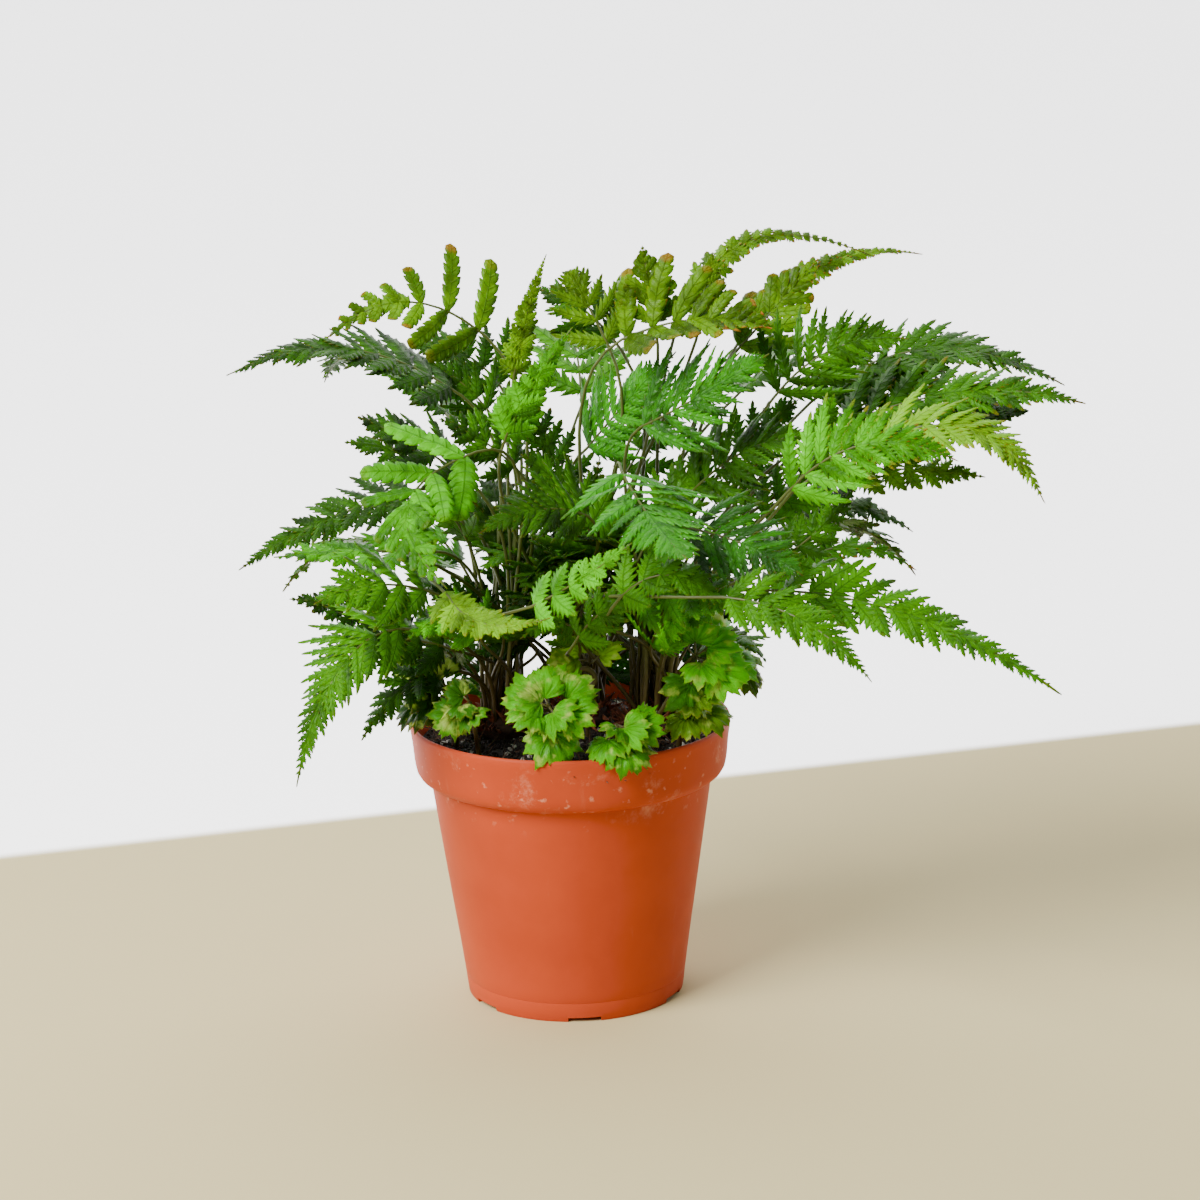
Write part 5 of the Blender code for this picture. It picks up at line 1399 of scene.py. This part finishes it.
def make_sprout(sprout, kit):
    """One young plant: its stem, and whorls of fan-shaped leaves that lie over each other."""
    draw = random.Random(sprout.name)
    place = Vector((*sprout.place, 0.0)) * MM
    hub = Vector(sprout.hub) * MM
    bend = place + UP * SPROUT_BEND_HEIGHT
    points, rods = LeafPoints(), []
    face = Vector(sprout.face).normalized()
    level = UP.cross(face).normalized()
    above = face.cross(level)
    root = hub - (hub - bend).normalized() * LEAF_ROOT_BACK * MM
    for i, (angle, stalk, radius) in enumerate(sprout.leaves):
        for whorl in WHORLS:
            if i % whorl.every:
                continue
            turn = math.radians(angle + whorl.turn + draw.uniform(-LEAF_TURN_RANGE, LEAF_TURN_RANGE))
            nod = face * (LEAF_NODS[i % 2] + whorl.nod + draw.uniform(-LEAF_NOD_RANGE, LEAF_NOD_RANGE))
            out = (level * math.cos(turn) + above * math.sin(turn) + nod).normalized()
            upper = (face - out * face.dot(out)).normalized()
            roll = Matrix.Rotation(draw.uniform(-1.0, 1.0) * LEAF_ROLL, 3, out)
            start = root + face * (i * LEAF_ROOT_STEP + whorl.lift * MM)
            # Painted shade: young plants under the fronds get a darker leaf tone.
            tone = draw.uniform(*YOUNG_TONES) + (PAINTED_SHADE_TONE if sprout.name in PAINTED_SHADE_SPROUTS else 0.0)
            add_fan_leaf(points, rods, start, out, roll @ upper, stalk * whorl.share * MM,
                         radius * whorl.size * MM, FAN_KINDS[i % 2], tone)
    stem = [place + UP * SPROUT_FOOT_HEIGHT, bend, bend.lerp(hub, 0.5) + UP * SPROUT_STEM_BOW * MM, hub]
    low, high = SPROUT_STEM_RADII
    meshes = [points.mesh(kit, kit.young[sprout.colour])]
    meshes.append(tube_mesh(stem, (low, low, (low + high) / 2, high), kit.stalk))
    for path, (thick, thin) in rods:
        meshes.append(tube_mesh(path, (thick, (thick + thin) / 2, thin), kit.stalk, PETIOLE_SIDES))
    piece = joined("fine_" + sprout.name, meshes)
    return finish_piece(piece, [sprout.name])


# Scattered grains, fibres and scales


def grain_shape(name, seed, squash):
    """A rough pebble of unit size with twenty faces."""
    work = bmesh.new()
    bmesh.ops.create_icosphere(work, subdivisions=1, radius=0.5)
    draw = random.Random(seed)
    for vertex in work.verts:
        vertex.co *= draw.uniform(*GRAIN_REACHES)
        vertex.co.z *= squash
    return finish_work(name, work)


def splinter_shape(name, splinter, bow):
    """A thin pointed strip of unit length that leans along Z and bows to one side."""
    rows = []
    for t in SPLINTER_STEPS:
        half = splinter.half_width * (1.0 - (1.0 - splinter.tip) * t)
        rows.append([(side * half, bow * t * t + SPLINTER_CURL * half * side, t) for side in (-1, 1)])
    points = [point for row in rows for point in row]
    back = [(x, y - splinter.half_width * SPLINTER_DEPTH, z) for x, y, z in points]
    count = len(points)
    faces = []
    for i in range(len(rows) - 1):
        a, b, c, d = 2 * i, 2 * i + 1, 2 * i + 3, 2 * i + 2
        faces += [(a, b, c, d), (a + count, d + count, c + count, b + count)]
        faces += [(a, d, d + count, a + count), (b, b + count, c + count, c)]
    faces += [(0, count, count + 1, 1), (count - 2, count - 1, 2 * count - 1, 2 * count - 2)]
    return outward_mesh(name, points + back, faces)


def scatter_tree():
    """Scatters shapes over the upward faces, turned at random, between two sizes and tilts."""
    numbers = ("Density", "Smallest", "Largest", "Lean", "Upright share")
    tree, give, result = geometry_tree("scattered_shapes", numbers)
    normal = tree.nodes.new("GeometryNodeInputNormal").outputs[0]
    upward = add_node(tree, "FunctionNodeCompare", {0: split(tree, normal)[2], 1: give["Upright share"]},
                      data_type="FLOAT", operation="GREATER_THAN")
    spread = add_node(
        tree, "GeometryNodeDistributePointsOnFaces",
        {"Mesh": give["Geometry"], "Density": give["Density"], "Seed": give["Seed"],
         "Selection": upward.outputs[0]},
    )
    low = vector_calc(tree, "SCALE", (-1.0, -1.0, 0.0), give["Lean"])
    high = vector_calc(tree, "SCALE", (1.0, 1.0, 0.0), give["Lean"])
    high = vector_calc(tree, "ADD", high, (0.0, 0.0, math.tau))
    lean = add_node(tree, "FunctionNodeRandomValue", {0: low, 1: high, "Seed": give["Seed"]},
                    data_type="FLOAT_VECTOR")
    local = add_node(tree, "FunctionNodeEulerToRotation", {0: lean.outputs[0]})
    turned = add_node(
        tree, "FunctionNodeRotateRotation",
        {"Rotation": spread.outputs["Rotation"], "Rotate By": local.outputs[0]}, rotation_space="LOCAL",
    )
    size = add_node(
        tree, "FunctionNodeRandomValue", {2: give["Smallest"], 3: give["Largest"], "Seed": give["Seed"]},
        data_type="FLOAT",
    )
    real = real_copies(
        tree, give,
        {"Points": spread.outputs["Points"], "Rotation": turned.outputs[0], "Scale": size.outputs[1]},
    )
    return ended(tree, give, result, real)


def scattered(ground, tree, shapes, density, seed, scatter, material):
    """The scatter over a copy of the ground mesh, as a plain mesh."""
    inputs = {
        "Shapes": shapes, "Density": float(density), "Seed": seed, "Smallest": scatter.smallest,
        "Largest": scatter.largest, "Lean": scatter.lean, "Upright share": scatter.upright,
        "Material": material,
    }
    return apply_tree(link_mesh("ground", ground.copy()), tree, inputs)


# Pieces


def turned_mesh(profile, sides):
    """A solid of revolution about Z from a closed profile of (radius, height) points in millimetres."""
    points = [(radius * MM, 0.0, height * MM) for radius, height in profile]
    obj = link_mesh("turned", plain_points("turned", points))
    obj.data.edges.add(len(profile) - 1)
    for i, edge in enumerate(obj.data.edges):
        edge.vertices = (i, i + 1)
    screw = obj.modifiers.new("turn", "SCREW")
    screw.steps = sides
    screw.render_steps = sides
    screw.use_merge_vertices = True
    screw.merge_threshold = POT_SEAM_WELD
    mesh = plain_mesh(obj)
    set_outward(mesh, POT_WELD)
    return mesh


def notch_cutter(angle):
    """A block across the foot ring, at the given angle."""
    work = bmesh.new()
    bmesh.ops.create_cube(work, size=1.0)
    bmesh.ops.scale(work, vec=NOTCH_SIZE, verts=work.verts)
    bmesh.ops.translate(work, vec=(NOTCH_RADIUS, 0.0, 0.0), verts=work.verts)
    bmesh.ops.rotate(work, cent=(0, 0, 0), matrix=Matrix.Rotation(angle, 3, "Z"), verts=work.verts)
    return link_mesh("notch", finish_work("notch", work))


def make_pot(looks):
    """The pot, turned from its profile, with shallow notches under the foot ring."""
    profile = POT_INSIDE + POT_OUTER + POT_UNDERSIDE
    pot = link_mesh("fine_pot", turned_mesh(profile, looks.sides), [plastic_material(looks)])
    cutters = [notch_cutter(NOTCH_FIRST_ANGLE + i * math.tau / NOTCH_COUNT) for i in range(NOTCH_COUNT)]
    group = bpy.data.collections.new("notches")
    for cutter in cutters:
        group.objects.link(cutter)
    cut = pot.modifiers.new("notches", "BOOLEAN")
    cut.operation = "DIFFERENCE"
    cut.operand_type = "COLLECTION"
    cut.collection = group
    cut.solver = "EXACT"
    bpy.context.view_layer.update()
    mesh = plain_mesh(pot)
    for cutter in cutters:
        bpy.data.objects.remove(cutter)
    set_outward(mesh, WELD)
    piece = link_mesh("fine_pot", mesh)
    return finish_piece(piece, ["pot"], POT_SHARP_ANGLE)


def mix_height(x, y, lump):
    """Height of the mix at a place, domed towards the middle and lumpy."""
    share = min(1.0, math.hypot(x, y) / MIX_RADIUS)
    dome = MIX_CENTRE_HEIGHT + (MIX_EDGE_HEIGHT - MIX_CENTRE_HEIGHT) * share * share
    rough = field.fractal(Vector((x, y, 0.0)) * MIX_LUMPS, *MIX_FRACTAL)
    return dome + lump * rough


def ring_faces(rings, spokes, pole=None):
    """Faces of rings of points round point 0, which close at the pole's point if there is one."""
    faces = []
    for spoke in range(spokes):
        after = (spoke + 1) % spokes
        faces.append((0, 1 + spoke, 1 + after))
        for ring in range(rings - 1):
            a, b = 1 + ring * spokes, 1 + (ring + 1) * spokes
            faces.append((a + spoke, b + spoke, b + after, a + after))
        if pole:
            faces.append((pole - spokes + spoke, pole, pole - spokes + after))
    return faces


def mix_ground(looks):
    """The closed body of the mix, with a lumpy top."""
    points = []
    for ring in range(MIX_RINGS + 1):
        for spoke in range(MIX_SPOKES if ring else 1):
            angle = math.tau * spoke / MIX_SPOKES
            radius = MIX_RADIUS * ring / MIX_RINGS
            x, y = radius * math.cos(angle), radius * math.sin(angle)
            points.append((x, y, mix_height(x, y, looks.lump)))
    faces = ring_faces(MIX_RINGS, MIX_SPOKES)
    low = len(points)
    rim = low - MIX_SPOKES
    points += [(x, y, MIX_EDGE_HEIGHT - MIX_DEPTH) for x, y, _ in points[rim:]]
    for spoke in range(MIX_SPOKES):
        after = (spoke + 1) % MIX_SPOKES
        faces.append((rim + spoke, low + spoke, low + after, rim + after))
    faces.append(tuple(low + spoke for spoke in range(MIX_SPOKES - 1, -1, -1)))
    return outward_mesh("mix_ground", points, faces)


def make_mix(looks, tree):
    """The potting mix with crumbs, white grains and fibres on it."""
    ground = mix_ground(looks)
    soil = mix_material(looks)
    perlite = speckled_material("perlite", looks.perlite)
    fibre = speckled_material("peat_fibre", looks.fibre)
    pebbles = [grain_shape("crumb", seed, CRUMB_HEIGHT) for seed in CRUMB_SEEDS]
    whites = [grain_shape("white", seed, WHITE_HEIGHT) for seed in WHITE_SEEDS]
    threads = [splinter_shape("thread", THREAD, bow) for bow in THREAD.bows]
    layers = (
        ("crumb", pebbles, looks.crumbs, 3, CRUMBS, soil),
        ("white", whites, looks.grains, 5, WHITE_GRAINS, perlite),
        ("thread", threads, looks.fibres, 8, FIBRES, fibre),
    )
    meshes = [ground.copy()]
    meshes[0].materials.append(soil)
    for name, shapes, density, seed, scatter, material in layers:
        group = shape_collection(name, shapes)
        meshes.append(scattered(ground, tree, group, density, seed, scatter, material))
    return finish_piece(joined("fine_potting_mix", meshes), ["potting_mix"], MIX_SHARP_ANGLE)


def crown_mesh(centre, seed):
    """A lumpy knob that rises from the mix, with its faces always in the same order."""
    middle = (CROWN_LOW + CROWN_HIGH) / 2
    half = (CROWN_HIGH - CROWN_LOW) / 2
    points = []
    for ring in range(CROWN_RINGS + 1):
        level = math.pi * ring / CROWN_RINGS
        for spoke in range(CROWN_SPOKES if 0 < ring < CROWN_RINGS else 1):
            turn = math.tau * spoke / CROWN_SPOKES
            out = math.sin(level)
            place = Vector((out * math.cos(turn), out * math.sin(turn), math.cos(level)))
            rough = 1.0 + CROWN_LUMP * field.noise(place * CROWN_LUMPS + Vector((seed, 0.0, 0.0)))
            wide = CROWN_RADIUS * rough
            points.append(centre + Vector((place.x * wide, place.y * wide, middle + place.z * half)))
    return outward_mesh("crown", points, ring_faces(CROWN_RINGS - 1, CROWN_SPOKES, len(points) - 1))


def make_crown(index, looks, tree, core, chaff):
    """A rootstock covered in papery scales."""
    ground = crown_mesh(CROWN_CENTRES[index], index * CROWN_SEED_STEP)
    shapes = [splinter_shape("scale", SCALE, bow) for bow in SCALE.bows]
    scatter = Scatter(looks.length * SMALLEST_SCALE, looks.length, SCALE_LEAN, SCALE_UPRIGHT)
    meshes = [ground.copy()]
    meshes[0].materials.append(core)
    scales = shape_collection("scale", shapes)
    meshes.append(scattered(ground, tree, scales, looks.scales, CROWN_SEED + index, scatter, chaff))
    name = CROWN_NAMES[index]
    return finish_piece(joined("fine_" + name, meshes), [name], CROWN_SHARP_ANGLE)


def make_crozier(stalk):
    """The young frond that is still rolled up."""
    points = [CROZIER_PLACE + UP * height * MM for height in CROZIER_FOOT_HEIGHTS]
    points.append(CROZIER_PLACE + UP * (CROZIER_HEIGHT - 2 * CROZIER_COIL))
    centre = CROZIER_PLACE + Vector((CROZIER_COIL, 0, CROZIER_HEIGHT))
    for i in range(CROZIER_STEPS + 1):
        t = i / CROZIER_STEPS
        angle = math.pi - math.tau * CROZIER_TURNS * t
        radius = CROZIER_COIL * (1 - CROZIER_COIL_SHRINK * t)
        points.append(centre + Vector((math.cos(angle), 0.0, math.sin(angle))) * radius)
    radii = [CROZIER_RADIUS * (1 - CROZIER_END_SHRINK * i / len(points)) for i in range(len(points))]
    piece = link_mesh("fine_crozier", tube_mesh(points, radii, stalk, CROZIER_SIDES))
    return finish_piece(piece, ["crozier"])


# Stage


def make_floor(looks):
    """A floor that is cream under the pot and pale past a slanting edge, and curves up into a wall."""
    material, tree, shader, place = new_material("stage_paper")
    shade = tuple(part * FLOOR_SHADE for part in looks.floor)
    cream = mix(tree, noise(tree, place, 3.0), tuple(looks.floor), shade)
    x, y, z = split(tree, place)
    beyond = calc(tree, "SUBTRACT", y, calc(tree, "MULTIPLY_ADD", x, FLOOR_EDGE_SLOPE, FLOOR_EDGE))
    far = ramp(tree, beyond, 0.0, FLOOR_EDGE_BLUR)
    tree.links.new(mix(tree, far, cream, tuple(looks.wall)), shader.inputs["Base Color"])
    tree.links.new(calc(tree, "MULTIPLY", far, looks.glow), shader.inputs["Emission Strength"])
    shader.inputs["Emission Color"].default_value = (*looks.wall, 1.0)
    shader.inputs["Roughness"].default_value = FLOOR_ROUGHNESS
    bend = FLOOR_BACK - FLOOR_BEND
    profile = [(FLOOR_FRONT, 0.0), (bend, 0.0)]
    for i in range(1, FLOOR_STEPS + 1):
        turn = math.pi / 2 * i / FLOOR_STEPS
        profile.append((bend + FLOOR_BEND * math.sin(turn), FLOOR_BEND - FLOOR_BEND * math.cos(turn)))
    profile.append((FLOOR_BACK, WALL_TOP))
    points = [(side * FLOOR_HALF, y, z) for y, z in profile for side in (-1, 1)]
    faces = [(2 * i, 2 * i + 1, 2 * i + 3, 2 * i + 2) for i in range(len(profile) - 1)]
    floor = link_mesh("stage_floor", plain_points("stage_floor", points, faces), [material])
    floor.data.shade_smooth()


def make_light(light, power):
    data = bpy.data.lights.new(light.name, "AREA")
    data.shape = "RECTANGLE"
    data.size, data.size_y = light.size
    data.energy = power
    data.color = light.tint
    obj = bpy.data.objects.new(light.name, data)
    obj.location = light.place
    obj.rotation_euler = (AXIS + LIGHTS_AIM - Vector(light.place)).to_track_quat("-Z", "Y").to_euler()
    bpy.context.scene.collection.objects.link(obj)


def make_camera():
    """The camera of the picture's view."""
    back = Vector((0.0, -math.cos(CAMERA_ELEVATION), math.sin(CAMERA_ELEVATION)))
    right = (-back).cross(UP).normalized()
    up = right.cross(-back)
    rolled_right = right * math.cos(CAMERA_ROLL) + up * math.sin(CAMERA_ROLL)
    rolled_up = up * math.cos(CAMERA_ROLL) - right * math.sin(CAMERA_ROLL)
    data = bpy.data.cameras.new("camera")
    data.lens = CAMERA_LENS
    data.sensor_width = CAMERA_SENSOR
    camera = bpy.data.objects.new("camera", data)
    matrix = Matrix((rolled_right, rolled_up, back)).transposed().to_4x4()
    matrix.translation = AXIS + CAMERA_AIM + back * CAMERA_DISTANCE
    camera.matrix_world = matrix
    bpy.context.scene.collection.objects.link(camera)
    bpy.context.scene.camera = camera


def make_stage(looks):
    make_floor(looks)
    for light in LIGHTS:
        make_light(light, getattr(looks, light.power))
    world = bpy.data.worlds.new("studio")
    world.use_nodes = True
    back = world.node_tree.nodes["Background"]
    back.inputs["Color"].default_value = SKY_TINT
    back.inputs["Strength"].default_value = looks.sky
    bpy.context.scene.world = world
    make_camera()


# Operators and panel


class MakeStage(bpy.types.Operator):
    """Makes the floor, the lights and the camera"""

    bl_idname = "fern.make_stage"
    bl_label = "Stage"

    def execute(self, context):
        make_stage(context.scene.fern_stage)
        return {"FINISHED"}


class MakePot(bpy.types.Operator):
    """Makes the plastic pot"""

    bl_idname = "fern.make_pot"
    bl_label = "Pot"

    def execute(self, context):
        make_pot(context.scene.fern_pot)
        return {"FINISHED"}


class MakeMix(bpy.types.Operator):
    """Makes the potting mix with its grains and fibres"""

    bl_idname = "fern.make_mix"
    bl_label = "Potting mix"

    def execute(self, context):
        make_mix(context.scene.fern_mix, scatter_tree())
        return {"FINISHED"}


class MakeCrowns(bpy.types.Operator):
    """Makes the scaly crowns"""

    bl_idname = "fern.make_crowns"
    bl_label = "Crowns"

    def execute(self, context):
        looks = context.scene.fern_crowns
        core = speckled_material("rootstock", looks.core)
        chaff = speckled_material("crown_scale", looks.scale)
        tree = scatter_tree()
        for index in range(len(CROWN_CENTRES)):
            make_crown(index, looks, tree, core, chaff)
        return {"FINISHED"}


class MakeFoliage(bpy.types.Operator):
    """Makes the fronds, the young plants and the rolled frond"""

    bl_idname = "fern.make_foliage"
    bl_label = "Foliage"

    def execute(self, context):
        kit = make_kit(context.scene.fern_leaves)
        roots = assign_roots()
        inner_fronds = [*INNER_FRONDS, *undergrowth()]
        for frond in FRONDS:
            make_frond(frond, roots, inner_fronds, kit)
        for sprout in SPROUTS:
            make_sprout(sprout, kit)
        make_crozier(kit.stalk)
        return {"FINISHED"}


class FernPanel(bpy.types.Panel):
    bl_idname = "FERN_PT_pieces"
    bl_label = "Potted fern"
    bl_space_type = "VIEW_3D"
    bl_region_type = "UI"
    bl_category = "Fern"

    def draw(self, context):
        for group, operator in PIECES:
            box = self.layout.box()
            looks = getattr(context.scene, group)
            for name in looks.bl_rna.properties.keys():
                if name not in ("rna_type", "name"):
                    box.prop(looks, name)
            box.operator(operator.bl_idname)


GROUPS = {
    "fern_stage": StageLooks, "fern_pot": PotLooks, "fern_mix": MixLooks, "fern_crowns": CrownLooks,
    "fern_leaves": LeafLooks,
}
PIECES = (
    ("fern_stage", MakeStage), ("fern_pot", MakePot), ("fern_mix", MakeMix), ("fern_crowns", MakeCrowns),
    ("fern_leaves", MakeFoliage),
)


def register():
    for group in GROUPS.values():
        bpy.utils.register_class(group)
    for name, group in GROUPS.items():
        setattr(bpy.types.Scene, name, bpy.props.PointerProperty(type=group))
    for _, operator in PIECES:
        bpy.utils.register_class(operator)
    bpy.utils.register_class(FernPanel)


def unregister():
    bpy.utils.unregister_class(FernPanel)
    for _, operator in reversed(PIECES):
        bpy.utils.unregister_class(operator)
    for name, group in reversed(GROUPS.items()):
        delattr(bpy.types.Scene, name)
        bpy.utils.unregister_class(group)


def main():
    register()
    for _, operator in PIECES:
        area, name = operator.bl_idname.split(".")
        getattr(getattr(bpy.ops, area), name)()


if __name__ == "__main__":
    main()
